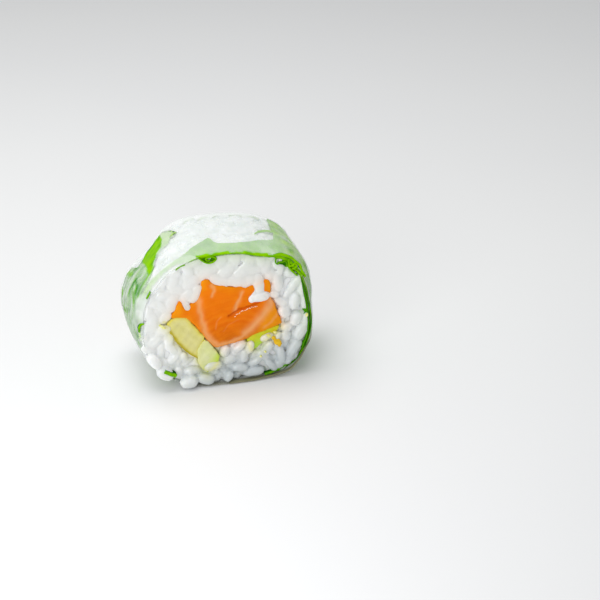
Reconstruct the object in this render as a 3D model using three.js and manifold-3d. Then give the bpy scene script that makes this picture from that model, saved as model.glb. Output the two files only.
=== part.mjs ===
// A cut piece of a rice paper roll, lying on its side: sushi rice round salmon and avocado, with salad
// leaves between the rice and a thin clear skin of rice paper. Millimetres, +Z up. The roll runs along Y,
// the shown cut faces -Y, and the origin is the middle of the flat spot that the roll rests on.
import * as THREE from "three";
import { mergeVertices } from "three/addons/utils/BufferGeometryUtils.js";
import Module from "manifold-3d";

const wasm = await Module();
wasm.setup();

// Driving sizes of the roll.
const HALF_LENGTH = 14.75;
const AXIS_HEIGHT = 22.4;
const MEAN_RADIUS = 25;
const SIDEWAYS = -0.15; // the outline leans a little to the right, so all of it moves left
const GAP = 0.3;
// sweep is how far outside the paper no rice may stand.
const PAPER = { thickness: 0.4, around: 52, along: 5, rimWave: 0.3, sweep: 4 };
const LEAF = { under: 0.75, thickness: 0.5, ripple: 0.35 };

// The outline at the shown cut, near the middle and at the far cut. It is a rounded rectangle, and each
// dent that flattens a shoulder or a foot is [angle from +X towards +Z, spread, depth] in degrees and mm.
const STATIONS = [
  {
    y: -HALF_LENGTH,
    half: [28, 22.6],
    squareness: 3.2,
    dents: [[41, 31, 2.5], [147, 19, 2.2], [215, 22, 2.1], [-33, 12, 0.5]],
  },
  {
    y: -3.8,
    half: [29.5, 22.6],
    squareness: 2.5,
    dents: [[41, 30, -0.6], [146, 17, 2.1], [215, 22, 2.1], [-33, 12, 0.5]],
  },
  {
    y: HALF_LENGTH,
    half: [29, 22.6],
    squareness: 2.9,
    dents: [[41, 30, 0.5], [147, 23, 6.7], [215, 22, 2.1], [-33, 12, 0.5]],
  },
];

// Fillings, as outlines [x, z] on the shown cut. They turn and shrink a little on their way to the far cut.
const FILLING_TWIST = { degrees: 7, shrink: 0.05, about: [1, 21] };
const SALMON = {
  ends: [-14.9, 14.8],
  steps: 5,
  outline: [
    [-6.3, 36.4], [-4.6, 35.1], [-3.2, 33.6], [1.4, 32.8], [7.4, 32.3], [9.8, 32.4], [11.6, 33.5],
    [13.4, 33.7], [14.2, 30.6], [14.6, 27.2], [16.3, 21.2], [17.8, 18.5], [12, 17.4], [9, 16.4],
    [6, 14.8], [2.6, 14], [-0.8, 13.3], [-3, 12.9], [-4.3, 13.8], [-8, 18.8], [-12.2, 24.4],
    [-13.2, 24.9], [-17.4, 25.1], [-15.9, 27], [-14.6, 30.3], [-13, 30.2], [-11.9, 28.4],
    [-10.3, 29.2], [-8.4, 30.6], [-7.5, 33],
  ],
};
// The crease where the salmon folds over itself, seen as a dark line on the cut.
const CREASE = { from: [1.2, 23.6], to: [10.4, 27.6], wide: 0.5, deep: 0.9 };
const AVOCADOS = {
  avocado_large: {
    ends: [-14.6, 14.5],
    steps: 4,
    colour: 0xdcd878,
    outline: [
      [-17.9, 21.7], [-16.7, 23.8], [-14.9, 24.5], [-13.3, 24.4], [-10.8, 21], [-7.5, 16.5],
      [-8.3, 15.2], [-9.7, 13], [-9.6, 10], [-12, 12], [-15, 15.8], [-17.2, 19.1],
    ],
  },
  avocado_small: {
    ends: [-15.1, 14.3],
    steps: 4,
    colour: 0xdbe08e,
    outline: [
      [-7.1, 15.8], [-6, 15.3], [-4.5, 12.9], [-2.7, 9.9], [-3.1, 8.1], [-4.8, 6.4], [-6.4, 4.9],
      [-7.7, 6.3], [-9, 8.2], [-9.2, 10.8], [-9.1, 12.6],
    ],
  },
  avocado_sliver: {
    ends: [-14.2, 14.2],
    steps: 4,
    colour: 0xb4cc3c,
    outline: [
      [6.2, 14.2], [8.9, 15.9], [12, 17], [15, 17.4], [16.9, 17.5], [15.4, 15.4], [12.2, 13.6], [10.2, 11.4],
      [8.6, 10.3], [7.2, 11.4],
    ],
  },
};

// Leaves: the stretch of angle each one covers, and its front and back edge as [angle, y] corners.
const LEAVES = {
  leaf_over: {
    angles: [117, -60],
    cells: [36, 3],
    front: [[117, -13], [105, -14.6], [40, -14.9], [0, -14.6], [-28, -14.3], [-45, -12.5], [-60, -14]],
    back: [
      [117, -11.5], [110, -8], [103, -6], [97, -3.4], [93, -6.8], [82, -8.2], [70, -6.6],
      [58, -4], [49, -1.5], [43, 5], [37, 13.6], [0, 14.2], [-30, 12], [-60, 6],
    ],
  },
  leaf_left: {
    angles: [200, 119],
    cells: [18, 3],
    front: [
      [200, -13.2], [180, -13.6], [160, -12.2], [150, -11.6], [142, -9.6], [136, -4], [128, -1], [119, 3],
    ],
    back: [[200, 13.8], [172, 13.4], [158, 9.5], [150, 10.5], [140, 13], [128, 10.5], [119, 7.5]],
  },
  leaf_under: {
    angles: [236, 216],
    cells: [6, 3],
    front: [[236, -10], [227, -14.5], [219, -14], [216, -12]],
    back: [[236, 7], [226, 12], [216, 8]],
  },
};
// Crumpled leaf under the right shoulder and a curled leaf end near the top, as bands at a depth.
const BANDS = {
  leaf_fold: {
    ends: [-15.1, -4.5],
    angles: [57, 22],
    depth: 3,
    halfThick: 0.75,
    lobes: 9,
    swell: 0.45,
    colour: 0x52a30e,
  },
  leaf_curl: {
    ends: [-14.9, -7],
    angles: [111, 96],
    depth: 2.7,
    halfThick: 0.5,
    lobes: 4,
    swell: 0.3,
    colour: 0x4aa310,
  },
};

// Rice: the core ends short of the cuts, and grains stand on it.
const RICE = { coreHalfLength: 13.1, coreAround: 40, coreAlong: 6, bump: 0.44, colour: 0xeef0ec };
const GRAIN = {
  length: [5.2, 6.5],
  width: [3.3, 3.8],
  flatness: 0.92,
  sides: 5,
  rings: 4,
  spacing: 4,
  tilt: 32,
  centre: [13.3, 13.8], // how far along Y from the middle the grains lie
  underPaper: 1.9,
  offFilling: 0.7,
  tries: 6000,
  seed: 20,
};
// Grains that stand out on the shown cut: [x, z, turn in degrees, length, how far they stand proud].
const KEY_GRAINS = [
  [10.3, 31.8, 96, 6.2, 0.9], [10.2, 28.4, 8, 5.4, 1.6], [14.9, 31.2, 96, 6.8, 0.9],
  [14.6, 28.3, -20, 3.6, 1.2], [22.6, 31, 55, 6.4, 0.8], [24.4, 26.2, 80, 5.6, 0.7],
  [21.8, 26.6, 92, 6.4, 1], [18.6, 21.6, 115, 5.2, 1.1], [21.6, 19.4, 100, 4.8, 0.9],
  [18.8, 16.4, -35, 5, 1], [17.2, 7.8, 96, 6.4, 1.1], [21.4, 8.6, 62, 6.6, 0.6],
  [13.8, 4.4, -48, 6, 1.1], [7.6, 2.7, 8, 7, 0.8], [0.2, 2.4, 40, 4.2, 1.2],
  [-7.2, 3, -12, 5.2, 1], [-12.4, 2.9, 4, 5.6, 1.2], [-4.6, 6.3, 14, 5.8, 1.5],
  [-1, 12, 70, 4.8, 1], [3.8, 12.6, 30, 5, 1], [-13, 28.9, -60, 5.2, 1.2],
  [-9.6, 31.6, 35, 6, 1], [-1.5, 35.6, -15, 6.6, 0.9], [5.2, 34, 12, 7, 0.9],
  [16.9, 36.4, 75, 4, 1.1], [-20, 21, 5, 6, 0.9], [-24.4, 27, 60, 6.4, 0.5],
];

// Seeded random numbers, so that every run gives the same roll.
function randomFrom(seed) {
  let state = seed;
  return () => {
    state = (state + 0x6d2b79f5) | 0;
    let mixed = Math.imul(state ^ (state >>> 15), 1 | state);
    mixed = (mixed + Math.imul(mixed ^ (mixed >>> 7), 61 | mixed)) ^ mixed;
    return ((mixed ^ (mixed >>> 14)) >>> 0) / 4294967296;
  };
}

const radians = THREE.MathUtils.degToRad;
const lerp = THREE.MathUtils.lerp;

// Value at x on the line through [x, value] corners, which may run either way.
function along(corners, x) {
  const last = corners.length - 1;
  for (let i = 0; i < last; i++) {
    const share = (x - corners[i][0]) / (corners[i + 1][0] - corners[i][0]);
    if (share <= 1 || i === last - 1) {
      return lerp(corners[i][1], corners[i + 1][1], THREE.MathUtils.clamp(share, 0, 1));
    }
  }
}

function stationRadius(station, angle) {
  const [halfWidth, halfHeight] = station.half;
  const n = station.squareness;
  const across = Math.abs(Math.cos(angle) / halfWidth) ** n;
  const upward = Math.abs(Math.sin(angle) / halfHeight) ** n;
  let radius = (across + upward) ** (-1 / n);
  for (const [at, spread, depth] of station.dents) {
    const away = Math.atan2(Math.sin(angle - radians(at)), Math.cos(angle - radians(at)));
    radius -= depth * Math.exp(-((away / radians(spread)) ** 2));
  }
  return radius;
}

// The roll's outer radius, passing smoothly through the three stations.
function radiusAt(angle, y) {
  const [front, middle, back] = STATIONS;
  const half = y < middle.y ? [front, middle] : [middle, back];
  const share = THREE.MathUtils.smoothstep(y, half[0].y, half[1].y);
  return lerp(stationRadius(half[0], angle), stationRadius(half[1], angle), share);
}

// A point at a depth under the roll's outside. The outside is flat where it rests.
function pointAt(angle, y, depth) {
  const radius = radiusAt(angle, y);
  const inside = 1 - depth / MEAN_RADIUS;
  const x = radius * Math.cos(angle) * inside;
  const z = AXIS_HEIGHT + Math.max(radius * Math.sin(angle), -AXIS_HEIGHT) * inside;
  return new THREE.Vector3(x, y, z);
}

// Moves every vertex of a geometry by a rule.
function warped(geometry, rule) {
  const at = geometry.attributes.position;
  const point = new THREE.Vector3();
  for (let i = 0; i < at.count; i++) {
    point.fromBufferAttribute(at, i);
    const moved = rule(point);
    at.setXYZ(i, moved.x, moved.y, moved.z);
  }
  return geometry;
}

// A copy with its shared vertices merged.
function mergedOf(geometry) {
  const bare = geometry.clone();
  bare.deleteAttribute("normal");
  bare.deleteAttribute("uv");
  return mergeVertices(bare, 1e-4);
}

function solidOf(geometry) {
  const merged = mergedOf(geometry);
  return new wasm.Manifold(
    new wasm.Mesh({
      numProp: 3,
      vertProperties: merged.attributes.position.array,
      triVerts: new Uint32Array(merged.index.array),
    }),
  );
}

function geometryOf(solid) {
  const mesh = solid.getMesh();
  return new THREE.BufferGeometry()
    .setAttribute("position", new THREE.BufferAttribute(mesh.vertProperties, 3))
    .setIndex(new THREE.BufferAttribute(mesh.triVerts, 1));
}

// The biggest body of a solid: loose scraps are left behind.
function mainBody(solid) {
  return solid.decompose().sort((a, b) => b.volume() - a.volume())[0];
}

// The rice paper: a thin sleeve whose cut rims wave a little. Grown, it is the room that the rice leaves.
function paperGeometry(grow = 0, outward = 0) {
  const end = HALF_LENGTH + outward;
  const inner = MEAN_RADIUS - PAPER.thickness - grow;
  const outer = MEAN_RADIUS + outward;
  const profile = [new THREE.Vector2(inner, -end)];
  for (let i = 0; i <= PAPER.along; i++) {
    profile.push(new THREE.Vector2(outer, lerp(-end, end, i / PAPER.along)));
  }
  for (let i = PAPER.along; i >= 0; i--) {
    profile.push(new THREE.Vector2(inner, lerp(-end, end, i / PAPER.along)));
  }
  return warped(new THREE.LatheGeometry(profile, PAPER.around), (p) => {
    const angle = Math.atan2(p.z, p.x);
    const wave = PAPER.rimWave * (Math.sin(3 * angle + 1) + Math.sin(7 * angle) / 2);
    return pointAt(angle, p.y + wave * (p.y / end) ** 3, MEAN_RADIUS - Math.hypot(p.x, p.z));
  });
}

// A leaf: a thin rippled sheet between the rice and the paper, both faces split alike. Grown, it is the
// room that the rice leaves for it, out to beyond the paper.
function leafGeometry(leaf, grow = 0) {
  const [from, to] = leaf.angles;
  const growDegrees = THREE.MathUtils.radToDeg(grow / MEAN_RADIUS) * Math.sign(to - from);
  return warped(new THREE.BoxGeometry(1, 1, 1, leaf.cells[0], leaf.cells[1], 1), (p) => {
    const degrees = lerp(from, to, p.x + 0.5);
    const isEnd = Math.abs(p.x) > 0.499;
    const y = lerp(along(leaf.front, degrees) - grow, along(leaf.back, degrees) + grow, p.y + 0.5);
    const ripple = LEAF.ripple * (0.5 + 0.5 * Math.sin(degrees / 3.1 + y / 2.6));
    const top = grow ? -0.5 : LEAF.under + ripple;
    const bottom = LEAF.under + (grow ? LEAF.ripple : ripple) + LEAF.thickness + grow;
    const angle = radians(degrees + (isEnd ? growDegrees * Math.sign(p.x) : 0));
    return pointAt(angle, y, p.z > 0 ? top : bottom);
  });
}

// Extrudes an [x, z] outline along Y from one end to the other.
function prismGeometry(outline, [near, far], steps) {
  const shape = new THREE.Shape(outline.map(([x, z]) => new THREE.Vector2(x, z)));
  return new THREE.ExtrudeGeometry(shape, { depth: far - near, steps, bevelEnabled: false })
    .rotateX(Math.PI / 2)
    .translate(0, far, 0);
}

// Moves each outline point outwards by the same distance.
function grownOutline(outline, by) {
  const count = outline.length;
  const side = (a, b) => new THREE.Vector2(b[1] - a[1], a[0] - b[0]).normalize();
  const turn = Math.sign(THREE.ShapeUtils.area(outline.map(([x, z]) => new THREE.Vector2(x, z))));
  return outline.map((point, i) => {
    const normal = side(outline[(i + count - 1) % count], point).add(side(point, outline[(i + 1) % count]));
    normal.normalize().multiplyScalar(by * turn);
    return [point[0] + normal.x, point[1] + normal.y];
  });
}

// Where a point of the fillings' outlines lies at y: they all turn and shrink the same way.
function fillingPoint(x, y, z) {
  const { degrees, shrink, about } = FILLING_TWIST;
  const share = (y + HALF_LENGTH) / (2 * HALF_LENGTH);
  const turn = radians(degrees) * share;
  const dx = (x - about[0]) * (1 - shrink * share);
  const dz = (z - about[1]) * (1 - shrink * share);
  const turnedX = about[0] + dx * Math.cos(turn) - dz * Math.sin(turn);
  return new THREE.Vector3(turnedX, y, about[1] + dx * Math.sin(turn) + dz * Math.cos(turn));
}

function fillingGeometry(filling, grow = 0) {
  const outline = grow ? grownOutline(filling.outline, grow) : filling.outline;
  const ends = [filling.ends[0] - grow * 3, filling.ends[1] + grow * 3];
  return warped(prismGeometry(outline, ends, filling.steps), (p) => fillingPoint(p.x, p.y, p.z));
}

// The salmon, with the crease cut into its shown face as a shallow groove.
function salmonGeometry() {
  const { from, to, wide, deep } = CREASE;
  const run = Math.hypot(to[0] - from[0], to[1] - from[1]);
  const groove = new THREE.CylinderGeometry(wide, wide, run, 4)
    .scale(1, 1, deep / wide)
    .rotateZ(Math.atan2(to[1] - from[1], to[0] - from[0]) - Math.PI / 2)
    .rotateX(Math.PI / 2)
    .translate((from[0] + to[0]) / 2, SALMON.ends[0], (from[1] + to[1]) / 2);
  return geometryOf(mainBody(solidOf(fillingGeometry(SALMON)).subtract(solidOf(groove))));
}

// A crumpled band of leaf: it follows the roll's outline, and swells and thins by turns.
function bandGeometry(band, grow = 0) {
  const [from, to] = band.angles;
  const steps = band.lobes * 2;
  const sides = [-1, 1].map((side) => {
    const points = [];
    for (let i = 0; i <= steps; i++) {
      const share = i / steps;
      const taper = Math.sqrt(Math.sin(Math.PI * lerp(0.08, 0.92, share)));
      const half = (band.halfThick + (i % 2 ? band.swell : -band.swell) * side) * taper + grow;
      const at = pointAt(radians(lerp(from, to, share)), -HALF_LENGTH, band.depth + side * half);
      points.push([at.x, at.z]);
    }
    return side > 0 ? points : points.reverse();
  });
  return prismGeometry([...sides[0], ...sides[1]], [band.ends[0] - grow * 3, band.ends[1] + grow], 2);
}

// Whether (x, z) lies inside a closed outline: a ray from it crosses the outline an odd number of times.
function insideOutline(outline, x, z) {
  let inside = false;
  outline.forEach(([ax, az], i) => {
    const [bx, bz] = outline[(i + 1) % outline.length];
    const crossing = ax + ((bx - ax) * (z - az)) / (bz - az);
    if (az > z !== bz > z && x < crossing) {
      inside = !inside;
    }
  });
  return inside;
}

// One grain of rice, few sided, lying on a cut face.
function grainSolid({ x, y, z, turn, tilt, length, width }) {
  const grain = new THREE.SphereGeometry(0.5, GRAIN.sides, GRAIN.rings)
    .scale(width, length, width * GRAIN.flatness)
    .rotateZ(turn - Math.PI / 2)
    .rotateX(Math.PI / 2 + tilt)
    .translate(x, y, z);
  return solidOf(grain);
}

// Grains over one cut face: the ones that stand out first, then more where there is room.
function grainsOn(side, keyGrains) {
  const random = randomFrom(GRAIN.seed + side);
  const between = (range) => lerp(range[0], range[1], random());
  const outlines = [SALMON, ...Object.values(AVOCADOS)].map((filling) => {
    const corners = grownOutline(filling.outline, GRAIN.offFilling);
    return corners.map(([x, z]) => fillingPoint(x, side * HALF_LENGTH, z)).map((p) => [p.x, p.z]);
  });
  const grains = keyGrains.map(([x, z, turn, length, proud]) => {
    const y = side * (GRAIN.centre[0] + proud);
    return { x, y, z, turn: radians(turn), tilt: 0, length, width: between(GRAIN.width) };
  });
  for (let i = 0; i < GRAIN.tries; i++) {
    const edge = pointAt(random() * 2 * Math.PI, side * HALF_LENGTH, GRAIN.underPaper);
    const share = Math.sqrt(random());
    const x = edge.x * share;
    const z = lerp(AXIS_HEIGHT, edge.z, share);
    const crowded = grains.some((grain) => Math.hypot(grain.x - x, grain.z - z) < GRAIN.spacing);
    if (!crowded && !outlines.some((outline) => insideOutline(outline, x, z))) {
      const y = side * between(GRAIN.centre);
      const turn = random() * Math.PI;
      const tilt = radians(GRAIN.tilt) * (random() * 2 - 1);
      grains.push({ x, y, z, turn, tilt, length: between(GRAIN.length), width: between(GRAIN.width) });
    }
  }
  return grains.map(grainSolid);
}

// The rice core: a drum in the roll's outline, with low bumps under the paper.
function riceCore() {
  const random = randomFrom(GRAIN.seed);
  const profile = [new THREE.Vector2(0, -RICE.coreHalfLength)];
  for (let i = 0; i <= RICE.coreAlong; i++) {
    const y = lerp(-1, 1, i / RICE.coreAlong) * RICE.coreHalfLength;
    profile.push(new THREE.Vector2(MEAN_RADIUS - LEAF.under, y));
  }
  profile.push(new THREE.Vector2(0, RICE.coreHalfLength));
  const drum = mergedOf(new THREE.LatheGeometry(profile, RICE.coreAround));
  return solidOf(
    warped(drum, (p) => {
      const radius = Math.hypot(p.x, p.z) * (1 - (RICE.bump * random()) / MEAN_RADIUS);
      return pointAt(Math.atan2(p.z, p.x), p.y, MEAN_RADIUS - radius);
    }),
  );
}

// The whole rice body: core and grains fused, then cleared of the paper, the leaves and the fillings.
function riceGeometry() {
  const cleared = [
    paperGeometry(GAP, PAPER.sweep),
    ...Object.values(LEAVES).map((leaf) => leafGeometry(leaf, GAP)),
    ...Object.values(BANDS).map((band) => bandGeometry(band, GAP)),
    ...[SALMON, ...Object.values(AVOCADOS)].map((filling) => fillingGeometry(filling, GAP)),
  ].map(solidOf);
  const fused = wasm.Manifold.union([riceCore(), ...grainsOn(-1, KEY_GRAINS), ...grainsOn(1, [])]);
  return geometryOf(mainBody(fused.subtract(wasm.Manifold.union(cleared))));
}

const materials = {
  rice: { color: RICE.colour, roughness: 0.45 },
  salmon: { color: 0xf07a14, roughness: 0.35 },
  leaf: { color: 0x7cc32c, roughness: 0.5 },
  paper: { color: 0xeef3ea, roughness: 0.2, transparent: true, opacity: 0.4 },
};

const roll = new THREE.Group();

function addPiece(name, geometry, finish) {
  const mesh = new THREE.Mesh(geometry, new THREE.MeshStandardMaterial({ metalness: 0, ...finish }));
  mesh.name = name;
  roll.add(mesh);
}

addPiece("rice_paper", paperGeometry(), materials.paper);
addPiece("rice", riceGeometry(), materials.rice);
addPiece("salmon", salmonGeometry(), materials.salmon);
for (const [name, filling] of Object.entries(AVOCADOS)) {
  addPiece(name, fillingGeometry(filling), { color: filling.colour, roughness: 0.45 });
}
for (const [name, leaf] of Object.entries(LEAVES)) {
  addPiece(name, leafGeometry(leaf), materials.leaf);
}
for (const [name, band] of Object.entries(BANDS)) {
  addPiece(name, bandGeometry(band), { ...materials.leaf, color: band.colour });
}
roll.position.set(SIDEWAYS, 0, 0);

export default roll;
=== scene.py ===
import math
import random

import bmesh
import bpy
import numpy as np
from mathutils import Matrix, Vector


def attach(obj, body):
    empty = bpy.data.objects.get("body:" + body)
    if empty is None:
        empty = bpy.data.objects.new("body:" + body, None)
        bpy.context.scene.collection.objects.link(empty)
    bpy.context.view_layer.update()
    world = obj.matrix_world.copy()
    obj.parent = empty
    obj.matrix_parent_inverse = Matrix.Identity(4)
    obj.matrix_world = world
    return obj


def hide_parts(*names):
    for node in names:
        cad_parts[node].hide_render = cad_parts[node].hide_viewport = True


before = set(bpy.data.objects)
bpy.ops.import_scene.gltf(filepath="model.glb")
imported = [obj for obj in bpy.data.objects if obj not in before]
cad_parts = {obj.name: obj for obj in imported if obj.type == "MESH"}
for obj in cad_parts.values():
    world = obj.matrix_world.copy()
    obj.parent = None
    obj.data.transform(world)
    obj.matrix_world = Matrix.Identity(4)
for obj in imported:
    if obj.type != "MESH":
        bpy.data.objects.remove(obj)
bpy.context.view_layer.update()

print("frame loaded:", len(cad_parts), "nodes")

# Shapes are worked out in millimetres and made metres as each piece is finished.
# The roll's outline, as the frame has it: a rounded rectangle at three places along Y, where each dent
# is (angle from +X towards +Z, spread, depth).
roll = {
    "halfLength": 14.75,
    "axisHeight": 22.4,
    "meanRadius": 25.0,
    "degreesPerMm": 2.3,
    "sideways": -0.15,
    "stations": [
        {"y": -14.75, "half": (28.0, 22.6), "square": 3.2,
         "dents": [(26, 24, 2.0), (61, 13, 1.5), (147, 19, 2.2), (215, 22, 2.1), (-30, 9, 0.5),
                   (-47, 9, -0.8)]},
        {"y": -3.8, "half": (29.5, 22.6), "square": 2.5,
         "dents": [(41, 30, -0.6), (146, 17, 2.1), (215, 22, 2.1), (-33, 12, 0.5)]},
        {"y": 14.75, "half": (29.0, 22.6), "square": 2.9,
         "dents": [(41, 30, 0.5), (147, 23, 6.7), (215, 22, 2.1), (-33, 12, 0.5)]},
    ],
}


def smooth(share):
    share = np.clip(share, 0, 1)
    return share * share * (3 - 2 * share)


def between(value, low, high):
    return smooth((value - low) / (high - low))


# 1 at zero, falling off to both sides.
def bell(value, width):
    return np.exp(-((value / width) ** 2))


# 0 up to a first range, 1 after it, and 0 again after a second one.
def window(value, start, end):
    return between(value, *start) * (1 - between(value, *end))


def stationRadius(station, angle):
    turn = np.radians(angle)
    n = station["square"]
    across = np.abs(np.cos(turn) / station["half"][0]) ** n
    upward = np.abs(np.sin(turn) / station["half"][1]) ** n
    radius = (across + upward) ** (-1 / n)
    for at, spread, depth in station["dents"]:
        away = (angle - at + 180) % 360 - 180
        radius = radius - depth * bell(away, spread)
    return radius


def rollRadius(angle, y):
    front, middle, back = roll["stations"]
    nearRadius, midRadius, farRadius = (stationRadius(s, angle) for s in roll["stations"])
    ahead = nearRadius + (midRadius - nearRadius) * between(y, front["y"], middle["y"])
    behind = midRadius + (farRadius - midRadius) * between(y, middle["y"], back["y"])
    return np.where(y < middle["y"], ahead, behind)


# Points of the roll at an angle in degrees, a place along Y and a depth under its outside.
def onRoll(angle, y, depth):
    radius = rollRadius(angle, y)
    inside = 1 - depth / roll["meanRadius"]
    x = radius * np.cos(np.radians(angle)) * inside + roll["sideways"]
    upward = np.maximum(radius * np.sin(np.radians(angle)), -roll["axisHeight"])
    return np.stack([x, y + 0 * x, roll["axisHeight"] + upward * inside], axis=-1)


def angleOf(points):
    return np.degrees(np.arctan2(points[:, 2] - roll["axisHeight"], points[:, 0] - roll["sideways"]))


def depthUnder(points):
    away = np.hypot(points[:, 0] - roll["sideways"], points[:, 2] - roll["axisHeight"])
    return rollRadius(angleOf(points), points[:, 1]) - away


# A place on the roll's side laid flat, in millimetres, for patterns that follow the surface.
def sideMap(angle, y):
    return np.stack([angle / roll["degreesPerMm"], y, 0 * angle], axis=-1)


# Smooth made-up unevenness: a few sine waves in seeded directions, between about -1 and 1.
def ripple(points, size, seed, waves=7):
    dice = np.random.default_rng(seed)
    total = np.zeros(len(points))
    for i in range(waves):
        direction = dice.normal(size=3)
        direction *= dice.uniform(0.6, 1.7) / (size * np.linalg.norm(direction))
        total += np.sin(points @ direction * 2 * math.pi + dice.uniform(0, 2 * math.pi))
    return total / math.sqrt(waves * 2)


def vectorsOf(obj, kind):
    vectors = np.empty(len(obj.data.vertices) * 3)
    obj.data.vertices.foreach_get(kind, vectors)
    return vectors.reshape(-1, 3)


def pointsOf(obj):
    return vectorsOf(obj, "co")


def setPoints(obj, points):
    obj.data.vertices.foreach_set("co", points.ravel())
    obj.data.update()


def makeObject(name, bm):
    mesh = bpy.data.meshes.new(name)
    bm.to_mesh(mesh)
    bm.free()
    obj = bpy.data.objects.new(name, mesh)
    bpy.context.scene.collection.objects.link(obj)
    return obj


# The object's mesh taken up for changes, and put back after them.
def editable(obj):
    bm = bmesh.new()
    bm.from_mesh(obj.data)
    return bm


def putBack(bm, obj):
    bm.to_mesh(obj.data)
    bm.free()


def applyModifiers(obj):
    depsgraph = bpy.context.evaluated_depsgraph_get()
    old = obj.data
    obj.data = bpy.data.meshes.new_from_object(obj.evaluated_get(depsgraph))
    obj.modifiers.clear()
    bpy.data.meshes.remove(old)


def fuse(obj, voxel, smoothing):
    remesh = obj.modifiers.new("fuse", "REMESH")
    remesh.mode = "VOXEL"
    remesh.voxel_size = voxel
    if smoothing:
        soften = obj.modifiers.new("soften", "SMOOTH")
        soften.factor = 0.5
        soften.iterations = smoothing
    applyModifiers(obj)


def paint(obj, name, values):
    layer = obj.data.attributes.new(name, "FLOAT", "POINT")
    layer.data.foreach_set("value", np.clip(values, 0, 1).astype(np.float32))


# Makes the mesh metres, shades it smooth, and ties the piece to the frame.
def finishPiece(obj, material, nodes=()):
    obj.data.transform(Matrix.Scale(0.001, 4))
    obj.data.shade_smooth()
    obj.data.materials.clear()
    obj.data.materials.append(material)
    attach(obj, "root")
    if nodes:
        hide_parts(*nodes)
    print("made", obj.name, "with", len(obj.data.polygons), "faces")


# Distance of points (x, z) from a line through corners, closed or open.
def distanceTo(x, z, corners, closed=False):
    ends = corners[1:] + corners[:1] if closed else corners[1:]
    nearest = np.full(len(x), 1e9)
    for (ax, az), (bx, bz) in zip(corners, ends):
        run = (bx - ax) ** 2 + (bz - az) ** 2
        share = np.clip(((x - ax) * (bx - ax) + (z - az) * (bz - az)) / run, 0, 1)
        away = np.hypot(x - ax - share * (bx - ax), z - az - share * (bz - az))
        nearest = np.minimum(nearest, away)
    return nearest


def insideOf(x, z, corners):
    inside = np.zeros(len(x), bool)
    for (ax, az), (bx, bz) in zip(corners, corners[1:] + corners[:1]):
        if az != bz:
            crossing = ax + (bx - ax) * (z - az) / (bz - az)
            inside ^= ((az > z) != (bz > z)) & (x < crossing)
    return inside


# Distance of places on the roll's side (angle, y) from a line drawn there.
def sideDistance(angle, y, corners):
    scale = roll["degreesPerMm"]
    return distanceTo(angle / scale, y, [(a / scale, b) for a, b in corners])


# A soft-edged mask of an area drawn by its corners: (angle, y) on the roll's side, or (x, z) on the cut.
def areaMask(across, up, corners, blur, degrees=True):
    scale = 180 / (math.pi * roll["meanRadius"]) if degrees else 1.0
    flat = [(a / scale, b) for a, b in corners]
    away = distanceTo(across / scale, up, flat, True)
    inside = insideOf(across / scale, up, flat)
    return smooth(0.5 + np.where(inside, away, -away) / (2 * blur))


# A colour as a screen shows it, each part from 0 to 255, made the shader's linear one.
def colour(red, green, blue):
    parts = [((c / 255 + 0.055) / 1.055) ** 2.4 if c > 10 else c / 3300 for c in (red, green, blue)]
    return (*parts, 1.0)


# A noise led through a second node. The noise, the group's last two inputs and its output are linked to the
# sockets that are named for them, in that order.
def noiseGroup(name, inputs, output, detail, kind, sockets, **settings):
    group = bpy.data.node_groups.new(name, "ShaderNodeTree")
    group.interface.new_socket("Vector", in_out="INPUT", socket_type="NodeSocketVector")
    for label, value in inputs.items():
        socket = group.interface.new_socket(label, in_out="INPUT", socket_type="NodeSocketFloat")
        socket.default_value = value
    group.interface.new_socket(output[0], in_out="OUTPUT", socket_type=output[1])
    start = group.nodes.new("NodeGroupInput")
    end = group.nodes.new("NodeGroupOutput")
    noise = group.nodes.new("ShaderNodeTexNoise")
    noise.inputs["Detail"].default_value = detail
    second = group.nodes.new(kind)
    for setting, value in settings.items():
        setattr(second, setting, value)
    group.links.new(start.outputs["Vector"], noise.inputs["Vector"])
    group.links.new(start.outputs["Scale"], noise.inputs["Scale"])
    sources = (noise.outputs["Fac"], start.outputs[2], start.outputs[3])
    for source, socket in zip(sources, sockets):
        group.links.new(source, second.inputs[socket])
    group.links.new(second.outputs[sockets[3]], end.inputs[0])
    return group


# Soft blotches: a noise, cut between two levels.
blotches = noiseGroup(
    "blotches", {"Scale": 300.0, "Low": 0.4, "High": 0.6}, ("Mask", "NodeSocketFloat"), 3,
    "ShaderNodeMapRange", ("Value", "From Min", "From Max", "Result"), interpolation_type="SMOOTHSTEP")
# Fine damp skin: a small bump from noise.
dampSkin = noiseGroup(
    "dampSkin", {"Scale": 1500.0, "Strength": 0.3, "Depth": 0.0001}, ("Normal", "NodeSocketVector"), 4,
    "ShaderNodeBump", ("Height", "Strength", "Distance", "Normal"))


def shaderOf(finish):
    return finish.node_tree.nodes["Principled BSDF"]


def newFinish(name, roughness, subsurface=0.0, radius=(0, 0, 0), coat=0.0, specular=0.5):
    finish = bpy.data.materials.new(name)
    finish.use_nodes = True
    shader = shaderOf(finish)
    shader.inputs["Roughness"].default_value = roughness
    shader.inputs["Subsurface Weight"].default_value = subsurface
    shader.inputs["Subsurface Radius"].default_value = radius
    shader.inputs["Subsurface Scale"].default_value = 0.001
    shader.inputs["Coat Weight"].default_value = coat
    shader.inputs["Coat Roughness"].default_value = 0.12
    shader.inputs["Specular IOR Level"].default_value = specular
    finish.node_tree.nodes.new("ShaderNodeTexCoord")
    return finish


# Sets a socket to a value, or links another node's output to it.
def feed(finish, socket, value):
    if isinstance(value, (int, float, tuple)):
        socket.default_value = value
    else:
        finish.node_tree.links.new(value, socket)


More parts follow.
